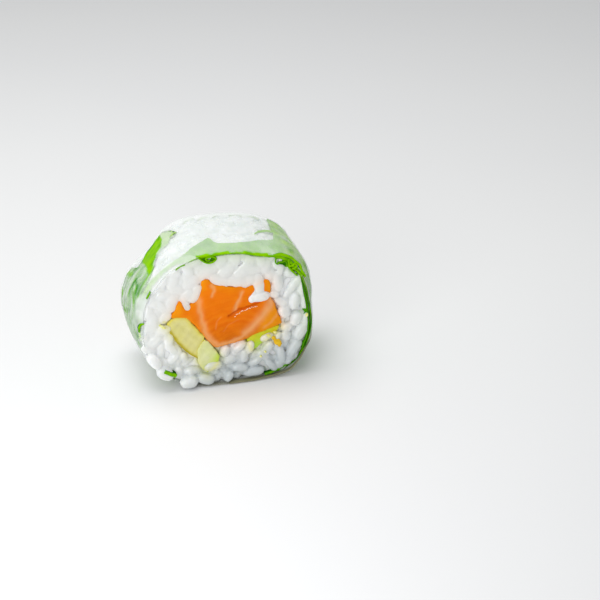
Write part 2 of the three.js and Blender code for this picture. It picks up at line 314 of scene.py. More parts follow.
# A new node's output: its own settings are made first, then its sockets are fed.
def nodeOutput(finish, kind, sockets, output=0, **settings):
    node = finish.node_tree.nodes.new(kind)
    for setting, value in settings.items():
        setattr(node, setting, value)
    for socket, value in sockets.items():
        feed(finish, node.inputs[socket], value)
    return node.outputs[output]


def placeOf(finish, stretch=None):
    where = finish.node_tree.nodes["Texture Coordinate"].outputs["Object"]
    if stretch is None:
        return where
    return nodeOutput(finish, "ShaderNodeMapping", {"Scale": stretch, "Vector": where})


def useGroup(finish, group, values, stretch):
    sockets = dict(enumerate((placeOf(finish, stretch), *values)))
    return nodeOutput(finish, "ShaderNodeGroup", sockets, node_tree=group)


def blotchMask(finish, scale, low, high, stretch=None):
    return useGroup(finish, blotches, (scale, low, high), stretch)


def skinBump(finish, scale, strength, depth, stretch=None):
    normal = useGroup(finish, dampSkin, (scale, strength, depth), stretch)
    feed(finish, shaderOf(finish).inputs["Normal"], normal)


def painted(finish, name):
    return nodeOutput(finish, "ShaderNodeAttribute", {}, "Fac", attribute_name=name)


# Mixes two colours by an amount, or by a share of it. A mix node's colours are its sockets 6 and 7.
def tint(finish, amount, first, second, share=1.0):
    if share != 1:
        amount = nodeOutput(finish, "ShaderNodeMath", {0: amount, 1: share}, operation="MULTIPLY")
    return nodeOutput(finish, "ShaderNodeMix", {0: amount, 6: first, 7: second}, 2, data_type="RGBA")


# Two tones in blotches, told by their scale and the two levels of the noise.
def cloudy(finish, blotch, first, second):
    return tint(finish, blotchMask(finish, *blotch), colour(*first), colour(*second))


# Lays painted masks over a tone, each as (mask, colour, how strong).
def layered(finish, tone, layers):
    for mask, shade, share in layers:
        tone = tint(finish, painted(finish, mask), tone, colour(*shade), share)
    return tone


# From 0 to 1 between two heights in metres.
def heightShare(finish, low, high):
    height = nodeOutput(finish, "ShaderNodeSeparateXYZ", {0: placeOf(finish)}, "Z")
    sockets = {"Value": height, "From Min": low, "From Max": high}
    return nodeOutput(finish, "ShaderNodeMapRange", sockets, "Result")


def colourWith(finish, source):
    feed(finish, shaderOf(finish).inputs["Base Color"], source)
    return finish


# Fillings: outlines (x, z) on the shown cut, which turn and shrink a little towards the far cut.
fillings = {
    "degrees": 7,
    "shrink": 0.05,
    "about": (1.0, 21.0),
    "salmon": [
        (-7.5, 36.0), (-6.3, 36.5), (-5.4, 36.3), (-4.6, 35.6), (-4.0, 34.9), (-3.4, 34.2), (-2.4, 34.0),
        (-1.2, 33.9), (0.2, 33.3), (1.4, 32.9), (3.4, 32.7), (5.4, 32.9), (7.4, 32.7), (9.0, 33.0),
        (10.6, 33.7), (11.8, 34.1), (13.4, 33.8), (13.9, 31.4), (13.7, 29.0), (14.0, 27.4), (15.0, 25.6),
        (15.6, 23.6), (16.2, 21.6), (17.3, 18.7), (16.2, 18.2), (12.6, 17.0), (9.0, 16.0), (6.0, 14.6),
        (4.2, 14.2), (2.6, 13.8), (0.8, 13.6), (-0.8, 13.3), (-3.0, 12.9), (-4.1, 13.3), (-5.1, 14.5),
        (-6.3, 16.2), (-8.0, 18.7), (-10.2, 21.9), (-12.2, 24.2), (-13.3, 24.6), (-15.2, 24.8),
        (-17.3, 25.1), (-16.7, 26.2), (-15.8, 27.4), (-15.2, 29.0), (-14.8, 30.4), (-13.4, 30.2),
        (-12.7, 28.6), (-12.2, 27.6), (-11.4, 28.2), (-10.3, 29.2), (-8.8, 31.0), (-8.0, 32.6),
        (-7.5, 34.4),
    ],
    "avocadoLarge": [
        (-18.3, 21.8), (-17.9, 23.1), (-16.9, 24.1), (-14.9, 24.7), (-13.3, 24.6), (-12.2, 23.7),
        (-10.5, 21.3), (-7.1, 16.8), (-7.6, 15.0), (-8.9, 12.6), (-9.2, 9.8), (-12.0, 12.0), (-15.0, 15.8),
        (-17.2, 19.1),
    ],
    "avocadoSmall": [
        (-7.1, 15.8), (-6.0, 15.3), (-4.5, 12.9), (-2.7, 9.9), (-3.1, 8.1), (-4.8, 6.4), (-6.4, 4.9),
        (-7.7, 6.3), (-9.0, 8.2), (-9.2, 10.8), (-9.1, 12.6), (-8.2, 14.5),
    ],
    "avocadoSliver": [
        (6.2, 14.2), (8.9, 15.9), (12.0, 17.0), (15.0, 17.4), (16.9, 17.5), (15.4, 15.4), (12.2, 13.6),
        (10.2, 11.4), (8.6, 10.3), (7.2, 11.4),
    ],
}
fillingNames = ("salmon", "avocadoLarge", "avocadoSmall", "avocadoSliver")


# The fillings' turn at y, as its cosine and sine, and their size there.
def fillingTurn(y):
    share = (y + roll["halfLength"]) / (2 * roll["halfLength"])
    turn = np.radians(fillings["degrees"]) * share
    return np.cos(turn), np.sin(turn), 1 - fillings["shrink"] * share


# Where a point of the fillings' outlines lies at y.
def fillingPoint(x, y, z):
    aboutX, aboutZ = fillings["about"]
    cosine, sine, size = fillingTurn(y)
    dx = (x - aboutX) * size
    dz = (z - aboutZ) * size
    return aboutX + dx * cosine - dz * sine + roll["sideways"], aboutZ + dx * sine + dz * cosine


# The way back: where points lie on the shown cut's outlines.
def fillingSource(points):
    aboutX, aboutZ = fillings["about"]
    cosine, sine, size = fillingTurn(points[:, 1])
    dx = (points[:, 0] - roll["sideways"] - aboutX) / size
    dz = (points[:, 2] - aboutZ) / size
    return aboutX + dx * cosine + dz * sine, aboutZ - dx * sine + dz * cosine


def grownOutline(corners, by):
    area = sum(a[0] * b[1] - b[0] * a[1] for a, b in zip(corners, corners[1:] + corners[:1]))
    side = math.copysign(by, area)
    grown = []
    for before, here, after in zip(corners[-1:] + corners[:-1], corners, corners[1:] + corners[:1]):
        way = Vector((after[0] - before[0], after[1] - before[1])).normalized()
        grown.append((here[0] + way.y * side, here[1] - way.x * side))
    return grown


# An outline drawn out along Y from one end to the other, with its twist.
def addPrism(bm, corners, near, far, steps=6):
    face = bm.faces.new([bm.verts.new((x, near, z)) for x, z in corners])
    verts = list(face.verts)
    for i in range(steps):
        result = bmesh.ops.extrude_face_region(bm, geom=[face])
        moved = [v for v in result["geom"] if isinstance(v, bmesh.types.BMVert)]
        face = [f for f in result["geom"] if isinstance(f, bmesh.types.BMFace)][0]
        bmesh.ops.translate(bm, vec=(0, (far - near) / steps, 0), verts=moved)
        verts += moved
    for v in verts:
        v.co.x, v.co.z = fillingPoint(v.co.x, v.co.y, v.co.z)
    bmesh.ops.recalc_face_normals(bm, faces=bm.faces)


# Values given at some angles, read off at any angle.
def edgeAt(corners, angle):
    corners = sorted(corners)
    return np.interp(angle, [a for a, y in corners], [y for a, y in corners])


# The sheets' rims are turned in over the cuts: how far by angle, and over which stretch along Y.
rim = {
    "curl": [(-180, 1.7), (-150, 0.9), (-120, 0.3), (-60, 0.3), (-20, 0.55), (20, 0.6), (50, 0.3), (90, 0.25),
             (110, 0.35), (122, 1.2), (145, 1.7), (180, 1.7)],
    "reach": (12.6, 15.0),
    "backCurl": 0.5,
    "backReach": (13.4, 15.1),
    "steepness": 1.5,
}


def rimCurl(angle, y):
    wrapped = (angle + 180) % 360 - 180
    near = between(-y, *rim["reach"]) ** rim["steepness"]
    far = between(y, *rim["backReach"]) ** rim["steepness"]
    return near * edgeAt(rim["curl"], wrapped) + far * rim["backCurl"]


# Rice grains, blunt and a little bent.
grain = {
    "length": (5.3, 6.6),
    "width": (3.0, 3.5),
    "around": 10,
    "along": 8,
    "bluntness": 0.28,
    "bend": 0.35,
}


def addGrain(bm, centre, direction, length, width, dice):
    made = bmesh.ops.create_uvsphere(bm, u_segments=grain["around"], v_segments=grain["along"], radius=0.5)
    bend = dice.uniform(-1, 1) * grain["bend"]
    for v in made["verts"]:
        t = v.co.z * 2
        fatter = 1 + grain["bluntness"] * t * t
        v.co.x = v.co.x * fatter + bend * (t * t - 0.4) / width
        v.co.y *= fatter
    axis = Vector(direction).normalized()
    turn = Vector((0, 0, 1)).rotation_difference(axis).to_matrix().to_4x4()
    spin = Matrix.Rotation(dice.uniform(0, 2 * math.pi), 4, "Z")
    size = Matrix.Diagonal((width, width * dice.uniform(0.84, 0.96), length, 1))
    place = Matrix.Translation(Vector(centre)) @ turn @ spin @ size
    bmesh.ops.transform(bm, matrix=place, verts=made["verts"])


# Grains that stand out on the shown cut: x, z, turn, length, width, and how far they stand proud.
frontGrains = [
    (10.2, 32.4, 95, 8.0, 3.9, 0.9), (10.5, 28.8, 6, 6.2, 3.9, 1.3), (8.2, 28.4, 30, 3.4, 3.0, 1.2),
    (8.8, 29.8, 70, 3.4, 3.0, 1.0), (12.6, 38.4, 90, 5.8, 3.2, 0.2), (16.1, 32.8, 99, 7.6, 3.6, 0.4),
    (15.0, 28.7, -14, 3.4, 2.7, 0.9), (17.1, 36.6, 70, 3.6, 2.1, 1.0), (21.6, 31.5, 52, 8.0, 3.2, 0.6),
    (24.0, 30.0, 80, 6.2, 3.3, 0.9), (21.5, 25.6, 84, 6.6, 3.6, 0.6), (24.8, 25.0, 96, 6.0, 3.3, 0.6),
    (18.2, 22.2, 120, 4.6, 3.9, 0.6), (22.0, 19.4, 64, 5.0, 3.7, 0.7), (18.9, 16.9, 10, 3.9, 3.2, 0.7),
    (18.7, 13.7, 95, 3.8, 3.2, 0.5), (25.0, 18.8, 84, 5.4, 3.2, 0.6), (23.4, 14.6, 60, 6.2, 4.0, 0.6),
    (17.0, 7.3, 98, 6.6, 3.0, 1.0), (21.3, 8.9, 55, 7.6, 3.9, 0.3), (13.9, 4.2, -52, 5.8, 2.9, 0.8),
    (8.2, 2.6, 6, 7.2, 3.4, 0.8), (0.2, 2.4, 60, 3.9, 3.4, 1.3), (-6.9, 2.4, -14, 5.6, 3.8, 1.4),
    (-12.3, 2.4, 6, 5.8, 4.2, 2.0), (-19.6, 6.2, -35, 6.0, 4.2, 1.5), (-22.8, 10.8, -58, 6.4, 4.0, 1.3),
    (-4.7, 6.7, 6, 6.0, 3.4, 1.3), (-0.7, 11.2, 72, 4.2, 3.5, 0.7), (3.9, 12.3, 38, 4.8, 3.3, 0.8),
    (0.9, 8.0, 20, 4.6, 3.6, 0.5), (5.4, 8.6, 80, 4.8, 3.2, 0.6), (9.0, 6.2, 30, 5.4, 3.3, 0.4),
    (13.0, 10.2, 62, 5.4, 3.2, 0.6), (4.0, 4.6, -12, 5.6, 3.4, 0.6), (-22.8, 24.6, 92, 6.0, 3.7, 0.5),
    (-19.6, 20.9, 15, 5.0, 3.6, 0.6), (-22.3, 17.4, 40, 5.8, 3.7, 0.4), (-17.2, 14.2, 130, 5.4, 3.4, 0.3),
    (-12.4, 28.4, -68, 4.6, 2.6, 1.0), (-9.4, 32.0, 62, 6.4, 3.8, 0.6), (-12.0, 31.6, 40, 6.0, 3.6, 0.5),
    (-16.6, 30.0, 62, 6.6, 3.8, 0.4), (-1.6, 35.6, -24, 7.4, 4.0, 0.5), (3.2, 34.6, -8, 7.4, 4.2, 0.5),
    (7.2, 34.2, 30, 6.0, 3.8, 0.6), (7.2, 11.5, 76, 4.4, 2.7, 1.1), (12.6, 14.2, 20, 4.6, 2.6, 1.0),
    (15.8, 14.0, 60, 3.6, 2.4, 0.9), (0.4, 38.6, 48, 7.6, 4.0, 0.2), (5.6, 38.0, 42, 7.6, 4.0, 0.2),
    (-5.4, 39.0, 30, 7.2, 4.0, 0.2), (-6.3, 37.8, 12, 4.4, 2.6, 0.2), (-4.4, 37.3, -25, 4.0, 2.6, 0.2),
    (-18.8, 25.0, 40, 4.4, 3.0, 0.5), (-1.4, 42.0, 75, 5.2, 4.0, 0.2), (3.0, 42.0, 80, 5.0, 3.8, 0.2),
    (7.6, 40.8, 70, 5.2, 3.6, 0.2),
]
frontRice = {
    "faceY": -13.2,
    "cutY": -14.75,
    "spacing": (2.7, 3.1),
    "underPaper": 1.9,
    "offFilling": 1.2,
    "tries": 5000,
    "keyTilt": 0.12,
    "tilt": 0.5,
    "sunk": 0.9,
    "layerStep": 0.8,
    "stagger": (-0.2, 0.4),
    "flush": 0.75,
    "flushSlope": 0.5,
    "flushHeights": (20, 34),
    "flushReach": (1.2, 4.5),
    "underFilm": 0.95,
    "voxel": 0.272,
    "smoothing": 2,
    "uneven": 0.05,
    "unevenSize": 1.9,
    "seed": 31,
}
backRice = {"voxel": 0.3, "seed": 77}  # what differs at the far cut


def outlinesAt(side, by):
    y = side * roll["halfLength"]
    return [[fillingPoint(x, y, z) for x, z in grownOutline(fillings[name], by)] for name in fillingNames]


# Where more grains go on a cut: away from the fillings and from each other.
def freePlaces(side, spacing, taken, dice):
    tries = np.array([(dice.uniform(0, 360), math.sqrt(dice.random())) for i in range(frontRice["tries"])])
    edges = onRoll(tries[:, 0], side * roll["halfLength"], frontRice["underPaper"])
    x = roll["sideways"] + (edges[:, 0] - roll["sideways"]) * tries[:, 1]
    z = roll["axisHeight"] + (edges[:, 2] - roll["axisHeight"]) * tries[:, 1]
    outlines = outlinesAt(side, frontRice["offFilling"])
    blocked = np.any([insideOf(x, z, outline) for outline in outlines], axis=0)
    places = list(taken)
    for place in zip(x[~blocked].tolist(), z[~blocked].tolist()):
        if all(math.dist(place, other) >= spacing for other in places):
            places.append(place)
    return places[len(taken):]


# How far the knife has cut and smeared the grains flush: the upper left of the shown cut.
def flushShare(x, z):
    return between(z - frontRice["flushSlope"] * x, *frontRice["flushHeights"])


def cutFaceRice(name, side, keyGrains, settings):
    dice = random.Random(settings["seed"] + side)
    bm = bmesh.new()
    keyPlaces = []
    tilt = settings["keyTilt"]
    for x, z, turn, length, width, proud in keyGrains:
        heading = (math.cos(math.radians(turn)), dice.uniform(-tilt, tilt), math.sin(math.radians(turn)))
        y = side * (abs(settings["faceY"]) + proud)
        addGrain(bm, (x + roll["sideways"], y, z), heading, length, width, dice)
        keyPlaces.append((x, z))
    for layer, spacing in enumerate(settings["spacing"]):
        taken = keyPlaces if layer else []
        for x, z in freePlaces(side, spacing, taken, dice):
            turn = dice.uniform(0, math.pi)
            heading = (math.cos(turn), dice.uniform(-settings["tilt"], settings["tilt"]), math.sin(turn))
            out = abs(settings["faceY"]) - settings["sunk"] + layer * settings["layerStep"]
            y = side * (out + dice.uniform(*settings["stagger"]))
            length = dice.uniform(*grain["length"])
            addGrain(bm, (x, y, z), heading, length, dice.uniform(*grain["width"]), dice)
    obj = makeObject(name, bm)
    fuse(obj, settings["voxel"], settings["smoothing"])
    points = pointsOf(obj)
    uneven = settings["uneven"] * ripple(points, settings["unevenSize"], settings["seed"])
    setPoints(obj, points + vectorsOf(obj, "normal") * uneven[:, None])
    return obj


# Grains keep under the paper. At the lower right they lie deeper, so that the leaf's edge shows, and at the
# lower left they hang over the paper's rim.
rimGrains = {
    "deeperFrom": (12.5, 13.5),
    "deeperStart": (-42, -25),
    "deeperEnd": (14, 32),
    "deeper": 0.8,
    "hangFrom": (13.9, 14.8),
    "hangAt": -132,
    "hangSpread": (30, 45),
    "hangOut": 1.5,
    "curlShare": 1.15,
    "lowest": 0.3,
    "lowerHanging": 0.2,
}


def keepOnRoll(points, depth):
    angle = angleOf(points)
    hanging = between(-points[:, 1], *rimGrains["hangFrom"])
    hanging *= 1 - between(np.abs(angle - rimGrains["hangAt"]), *rimGrains["hangSpread"])
    deeper = between(-points[:, 1], *rimGrains["deeperFrom"]) * between(angle, *rimGrains["deeperStart"])
    deeper *= rimGrains["deeper"] * (1 - between(angle, *rimGrains["deeperEnd"]))
    limit = depth + deeper + rimGrains["curlShare"] * rimCurl(angle, points[:, 1])
    limit = limit * (1 - hanging) - rimGrains["hangOut"] * hanging
    push = np.maximum(limit - depthUnder(points), 0)
    dx = points[:, 0] - roll["sideways"]
    dz = points[:, 2] - roll["axisHeight"]
    length = np.hypot(dx, dz)
    points[:, 0] -= dx / length * push
    points[:, 2] -= dz / length * push
    points[:, 2] = np.maximum(points[:, 2], rimGrains["lowest"] - rimGrains["lowerHanging"] * hanging)
    return points


# The rice's look. Avocado is smeared on the shown cut in lines (x, z), each layer is (mask, colour, how
# strong), and painted shade makes the cut's lower right side darker.
riceLook = {
    "grain": (247, 248, 248),
    "cloud": (236, 239, 239),
    "layers": [
        # Painted shade: the first layer greys the grains' faces turned to the cut, the second darkens the
        # lower right.
        ("cutFaceShade", (226, 228, 225), 0.75),
        ("paintedShade", (184, 193, 196), 0.8),
        ("leafy", (198, 216, 176), 0.7),
        ("avocado", (228, 224, 130), 0.7),
        ("fish", (244, 204, 176), 0.45),
        # painted shade in the gaps between grains, and olive-tinted painted shade in those near the fillings
        ("gapShade", (212, 214, 180), 0.8),
        ("stainAndGapShade", (214, 190, 70), 0.8),
    ],
    "smears": [
        [(-20.4, 22.9), (-18.7, 22.9), (-17.5, 23.5), (-16.6, 24.3)],
        [(-19.4, 23.9), (-18.2, 23.4), (-17.9, 22.5)],
    ],
    "smearWidth": 0.4,
    "smear": 0.9,
    "fishReach": 1.5,
    "avocadoReach": 1.1,
    # how far from the fillings the gaps' painted shade takes their olive stain
    "stainAndShadeReach": 2.0,
    "leafyStart": (-40, -10),
    "leafyEnd": (118, 128),
    "leafyReach": 2.0,
    # where the gaps' painted shade lies: back from the cut, and deep under the outside
    "gapFrom": (12.2, 13.8),
    "gapDepth": (1.2, 2.2),
    # how squarely a grain face turns to the cut for its painted shade
    "cutFaceShadeFrom": (0.72, 0.97),
    # Painted shade on the cut: darker below these heights, more so across to the right, and darker to the
    # right.
    "paintedShadeHeights": (2, 19),
    "paintedShadeAcross": (-20, -4),
    "paintedShadeLeft": 0.1,
    "paintedShadeRight": 0.3,
    "paintedShadeRightFrom": (6, 25),
}


# How much each point takes of its neighbours' colours, and where painted shade falls: on grain faces
# turned to the cut, in the gaps between grains, and towards the lower right.
def paintRice(obj, side=0):
    points = pointsOf(obj)
    x, z = fillingSource(points)
    fish = distanceTo(x, z, fillings["salmon"], True)
    green = np.min([distanceTo(x, z, fillings[name], True) for name in fillingNames[1:]], axis=0)
    smear = np.min([distanceTo(x, z, line) for line in riceLook["smears"]], axis=0)
    smear = riceLook["smear"] * bell(smear, riceLook["smearWidth"])
    depth = depthUnder(points)
    angle = angleOf(points)
    leafy = window(angle, riceLook["leafyStart"], riceLook["leafyEnd"])
    leafy *= np.exp(-np.maximum(depth - 1, 0) / riceLook["leafyReach"])
    # Painted shade in the gaps: grains lying back from the cut and deep under the outside are painted darker.
    gapShade = (1 - between(np.abs(points[:, 1]), *riceLook["gapFrom"])) * between(depth, *riceLook["gapDepth"])
    # Painted shade: darker towards the bottom, most of all at the right, and darker towards the right.
    across = between(points[:, 0], *riceLook["paintedShadeAcross"])
    paintedShade = (1 - between(points[:, 2], *riceLook["paintedShadeHeights"]))
    paintedShade *= riceLook["paintedShadeLeft"] + (1 - riceLook["paintedShadeLeft"]) * across
    paintedShade += riceLook["paintedShadeRight"] * between(points[:, 0], *riceLook["paintedShadeRightFrom"])
    # Olive-yellow in the gaps near the fillings and the leaf: partly their stain, partly painted shade.
    near = np.minimum(fish, green) / riceLook["stainAndShadeReach"]
    stainAndGapShade = gapShade * np.maximum(np.exp(-near), leafy)
    # Painted shade: grain faces turned along the roll, as the cut face is, are painted greyer than the
    # grains' sides.
    cutFaceShade = between(np.abs(vectorsOf(obj, "normal")[:, 1]), *riceLook["cutFaceShadeFrom"])
    shown = 1.0 if side else 0.0
    paint(obj, "fish", np.exp(-fish / riceLook["fishReach"]))
    paint(obj, "avocado", np.exp(-green / riceLook["avocadoReach"]) + smear * shown)
    masks = {"leafy": leafy, "paintedShade": paintedShade, "cutFaceShade": cutFaceShade, "gapShade": gapShade, "stainAndGapShade": stainAndGapShade}
    for mask, values in masks.items():
        paint(obj, mask, values * shown)


def riceMaterial():
    finish = newFinish("riceFinish", 0.28, subsurface=0.7, radius=(1.3, 1.25, 1.15), specular=0.5)
    tone = cloudy(finish, (420, 0.38, 0.66), riceLook["grain"], riceLook["cloud"])
    tone = layered(finish, tone, riceLook["layers"])
    skinBump(finish, 900, 0.25, 0.0002)
    return colourWith(finish, tone)


def makeRice(material):
    front = cutFaceRice("riceFront", -1, frontGrains, frontRice)
    points = pointsOf(front)
    flush = flushShare(points[:, 0], points[:, 2]) * frontRice["flush"]
    over = points[:, 1] - frontRice["cutY"]
    points[:, 1] -= over * flush * (1 - between(over, *frontRice["flushReach"]))
    setPoints(front, keepOnRoll(points, frontRice["underFilm"]))
    paintRice(front, -1)
    finishPiece(front, material, ["rice"])

    backSettings = {**frontRice, **backRice}
    back = cutFaceRice("riceBack", 1, [], backSettings)
    setPoints(back, keepOnRoll(pointsOf(back), frontRice["underFilm"]))
    paintRice(back, 1)
    finishPiece(back, material, ["rice"])


# The rice between the two cuts: a core with the fillings' tunnels, and grains lying round its side.
riceBody = {
    "halfLength": 13.2,
    "depth": 1.25,
    "around": 96,
    "rings": (-0.8, 0.8, 9),
    "flush": 0.8,
    "flushFrom": (10, 13),
    "tunnelGrow": 0.2,
    "tunnelEnds": (-18, 18),
    "grainDepth": 1.35,
    "grainSink": (0.1, 0.5),
    "spacing": 3.4,
    "spacingAround": 5.0,
    "shiftAround": 0.25,
    "shiftAlong": 0.7,
    "lean": 1.2,
    "length": (5.0, 6.4),
    "width": (2.7, 3.1),
    "voxel": 0.42,
    "smoothing": 3,
    "underFilm": 0.85,
    "seed": 5,
}


def riceCore():
    bm = bmesh.new()
    bmesh.ops.create_cone(bm, cap_ends=True, segments=riceBody["around"], radius1=1, radius2=1, depth=2)
    bmesh.ops.rotate(bm, cent=(0, 0, 0), matrix=Matrix.Rotation(math.pi / 2, 3, "X"), verts=bm.verts)
    for y in np.linspace(*riceBody["rings"]):
        everything = bm.verts[:] + bm.edges[:] + bm.faces[:]
        bmesh.ops.bisect_plane(bm, geom=everything, plane_co=(0, y, 0), plane_no=(0, 1, 0))
    core = makeObject("riceBody", bm)
    points = pointsOf(core)
    angle = np.degrees(np.arctan2(points[:, 2], points[:, 0]))
    y = points[:, 1] * riceBody["halfLength"]
    points = onRoll(angle, y, riceBody["depth"] + 0 * y)
    flush = riceBody["flush"] * between(-y, *riceBody["flushFrom"])
    points[:, 1] -= flush * flushShare(points[:, 0], points[:, 2])
    setPoints(core, points)

    bm = bmesh.new()
    for name in fillingNames:
        addPrism(bm, grownOutline(fillings[name], riceBody["tunnelGrow"]), *riceBody["tunnelEnds"])
    tunnels = makeObject("tunnels", bm)
    cut = core.modifiers.new("tunnels", "BOOLEAN")
    cut.operation = "DIFFERENCE"
    cut.solver = "EXACT"
    cut.use_self = True
    cut.object = tunnels
    applyModifiers(core)
    bpy.data.objects.remove(tunnels)
    return core


def makeRiceBody(material):
    dice = random.Random(riceBody["seed"])
    core = riceCore()
    bm = editable(core)
    rows = int(2 * riceBody["halfLength"] / riceBody["spacing"])
    for row in range(rows):
        y = -riceBody["halfLength"] + (row + 0.5) * 2 * riceBody["halfLength"] / rows
        around = int(2 * math.pi * roll["meanRadius"] / riceBody["spacingAround"])
        for i in range(around):
            shift = dice.uniform(-riceBody["shiftAround"], riceBody["shiftAround"])
            angle = (i + 0.5 * (row % 2) + shift) * 360 / around
            at = y + dice.uniform(-riceBody["shiftAlong"], riceBody["shiftAlong"])
            here = onRoll(np.array(angle), at, riceBody["grainDepth"] + dice.uniform(*riceBody["grainSink"]))
            ahead = onRoll(np.array(angle + 3), at, riceBody["grainDepth"])
            lean = dice.uniform(-riceBody["lean"], riceBody["lean"])
            heading = Vector(ahead - here).normalized() * math.cos(lean) + Vector((0, math.sin(lean), 0))
            length = dice.uniform(*riceBody["length"])
            addGrain(bm, here, heading, length, dice.uniform(*riceBody["width"]), dice)
    putBack(bm, core)
    fuse(core, riceBody["voxel"], riceBody["smoothing"])
    setPoints(core, keepOnRoll(pointsOf(core), riceBody["underFilm"]))
    paintRice(core)
    finishPiece(core, material, ["rice"])


# Salmon: pale fat lines as (corners, width, strength) on the shown cut, the crease where it folds over
# itself with painted shade along it, and the beads of juice along it.
salmon = {
    "near": -14.8,
    "far": 14.8,
    "voxel": 0.28,
    "smoothing": 3,
    "bulge": 0.25,
    "fatLines": [
        ([(-8.9, 31.2), (-8.3, 28.0), (-7.8, 23.4), (-6.6, 18.7), (-4.8, 15.6), (-3.2, 14.2)], 0.85, 0.85),
        ([(-3.2, 13.8), (0.4, 14.1), (4.2, 15.4), (6.2, 17.0)], 0.75, 0.9),
        ([(5.6, 16.8), (7.8, 18.7), (10.8, 21.9), (13.4, 25.0), (13.8, 27.0)], 1.25, 1.0),
        ([(-4.2, 34.4), (-3.8, 32.7), (-4.5, 30.8)], 0.5, 0.8),
        ([(4.8, 30.8), (4.0, 28.2), (2.4, 24.9)], 0.6, 0.9),
        ([(-3.6, 19.5), (-3.2, 22.0), (-1.8, 23.4)], 0.2, 0.3),
        ([(-1.0, 18.4), (0.6, 20.6), (3.4, 21.8)], 0.2, 0.2),
        ([(15.6, 22.2), (14.0, 19.8), (11.4, 18.0)], 0.5, 0.5),
    ],
    "amberCorners": [
        [(9, 15), (18, 15), (18, 27), (12, 24)],
        [(-18, 24), (-14.2, 24), (-13.2, 28), (-15.5, 31)],
        [(-8.6, 37), (-5.6, 37), (-6.6, 33.4), (-8.2, 32.6)],
        [(12, 35), (15, 35), (15.5, 27), (12.6, 28.6)],
    ],
    "crease": [(0.8, 23.4), (2.4, 24.2), (4.0, 25.1), (7.2, 25.8), (10.2, 26.7)],
    "creaseWidth": 0.35,
    "creaseDepth": 0.65,
    # how wide the crease's painted shade is
    "creaseShadeWidth": 0.55,
    "amberEdge": 0.7,
    "amberBlur": 1.6,
    "shownBefore": (-14.9, -13.6),
    "lumps": 0.12,
    "fibreCentre": (3, 8),
    # Painted shade: the flesh is painted darker towards the bottom, from high through middle to low, between
    # these heights in metres.
    "low": (196, 90, 0),
    "middle": (230, 107, 0),
    "high": (240, 118, 0),
    "shadeHeights": (0.013, 0.022, 0.033),
    "cloud": (246, 132, 0),
    "cloudShare": 0.3,
    "layers": [
        ("fibre", (244, 146, 24), 0.3),
        ("amber", (240, 160, 12), 0.6),
        ("fat", (238, 170, 110), 0.85),
        # painted shade along the crease
        ("crease", (196, 76, 0), 0.55),
    ],
    "beads": 26,
    "beadSize": (0.1, 0.2),
    "beadRun": (2.2, 22.7, 7.2, 3.3),  # start x and z, and how far across and up
    "juice": ((250, 214, 170), (255, 236, 214)),
}


def makeSalmon():
    bm = bmesh.new()
    addPrism(bm, grownOutline(fillings["salmon"], 0.12), salmon["near"], salmon["far"])
    obj = makeObject("salmonPiece", bm)
    fuse(obj, salmon["voxel"], salmon["smoothing"])
    points = pointsOf(obj)
    x, z = fillingSource(points)
    wander = 0.3 * ripple(points, 3.0, 3)
    fat = np.zeros(len(points))
    for corners, width, strength in salmon["fatLines"]:
        fat = np.maximum(fat, strength * bell(distanceTo(x + wander, z, corners), width))
    near = 1 - between(points[:, 1], *salmon["shownBefore"])
    edge = distanceTo(x, z, fillings["salmon"], True)
    crease = distanceTo(x, z, salmon["crease"])
    points[:, 1] += near * salmon["creaseDepth"] * bell(crease, salmon["creaseWidth"])
    points[:, 1] -= near * salmon["bulge"] * between(edge, 0, 2.5)
    lumps = salmon["lumps"]
    points[:, 1] += near * lumps * (ripple(points, 5.0, 8) + fat)
    points[:, 0] += lumps * ripple(points, 1.8, 33)
    points[:, 2] += lumps * ripple(points, 1.8, 34)
    setPoints(obj, points)
    centreX, centreZ = salmon["fibreCentre"]
    away = np.hypot(x - centreX, z - centreZ) * 1.1 + wander
    rings = np.stack([away, np.arctan2(z - centreZ, x - centreX) * 0.5, 0 * x], axis=-1)
    amber = salmon["amberEdge"] * np.exp(-edge)
    for corners in salmon["amberCorners"]:
        amber = np.maximum(amber, areaMask(x, z, corners, salmon["amberBlur"], False))
    paint(obj, "fat", fat)
    # Painted shade along the crease.
    paint(obj, "crease", near * bell(crease, salmon["creaseShadeWidth"]))
    paint(obj, "fibre", 0.5 + 0.5 * ripple(rings, 1.0, 9))
    paint(obj, "amber", amber)

    finish = newFinish("salmonFinish", 0.42, subsurface=0.06, radius=(1.2, 0.3, 0.05), specular=0.07)
    # Painted shade: the flesh darker towards the bottom.
    bottom, middle, top = salmon["shadeHeights"]
    low, half, high = [colour(*salmon[name]) for name in ("low", "middle", "high")]
    flesh = tint(finish, heightShare(finish, bottom, middle), low, half)
    flesh = tint(finish, heightShare(finish, middle, top), flesh, high)
    clouds = blotchMask(finish, 260, 0.4, 0.7)
    flesh = tint(finish, clouds, flesh, colour(*salmon["cloud"]), salmon["cloudShare"])
    flesh = layered(finish, flesh, salmon["layers"])
    skinBump(finish, 1400, 0.35, 0.00012, (1, 1, 0.5))
    finishPiece(obj, colourWith(finish, flesh), ["salmon"])


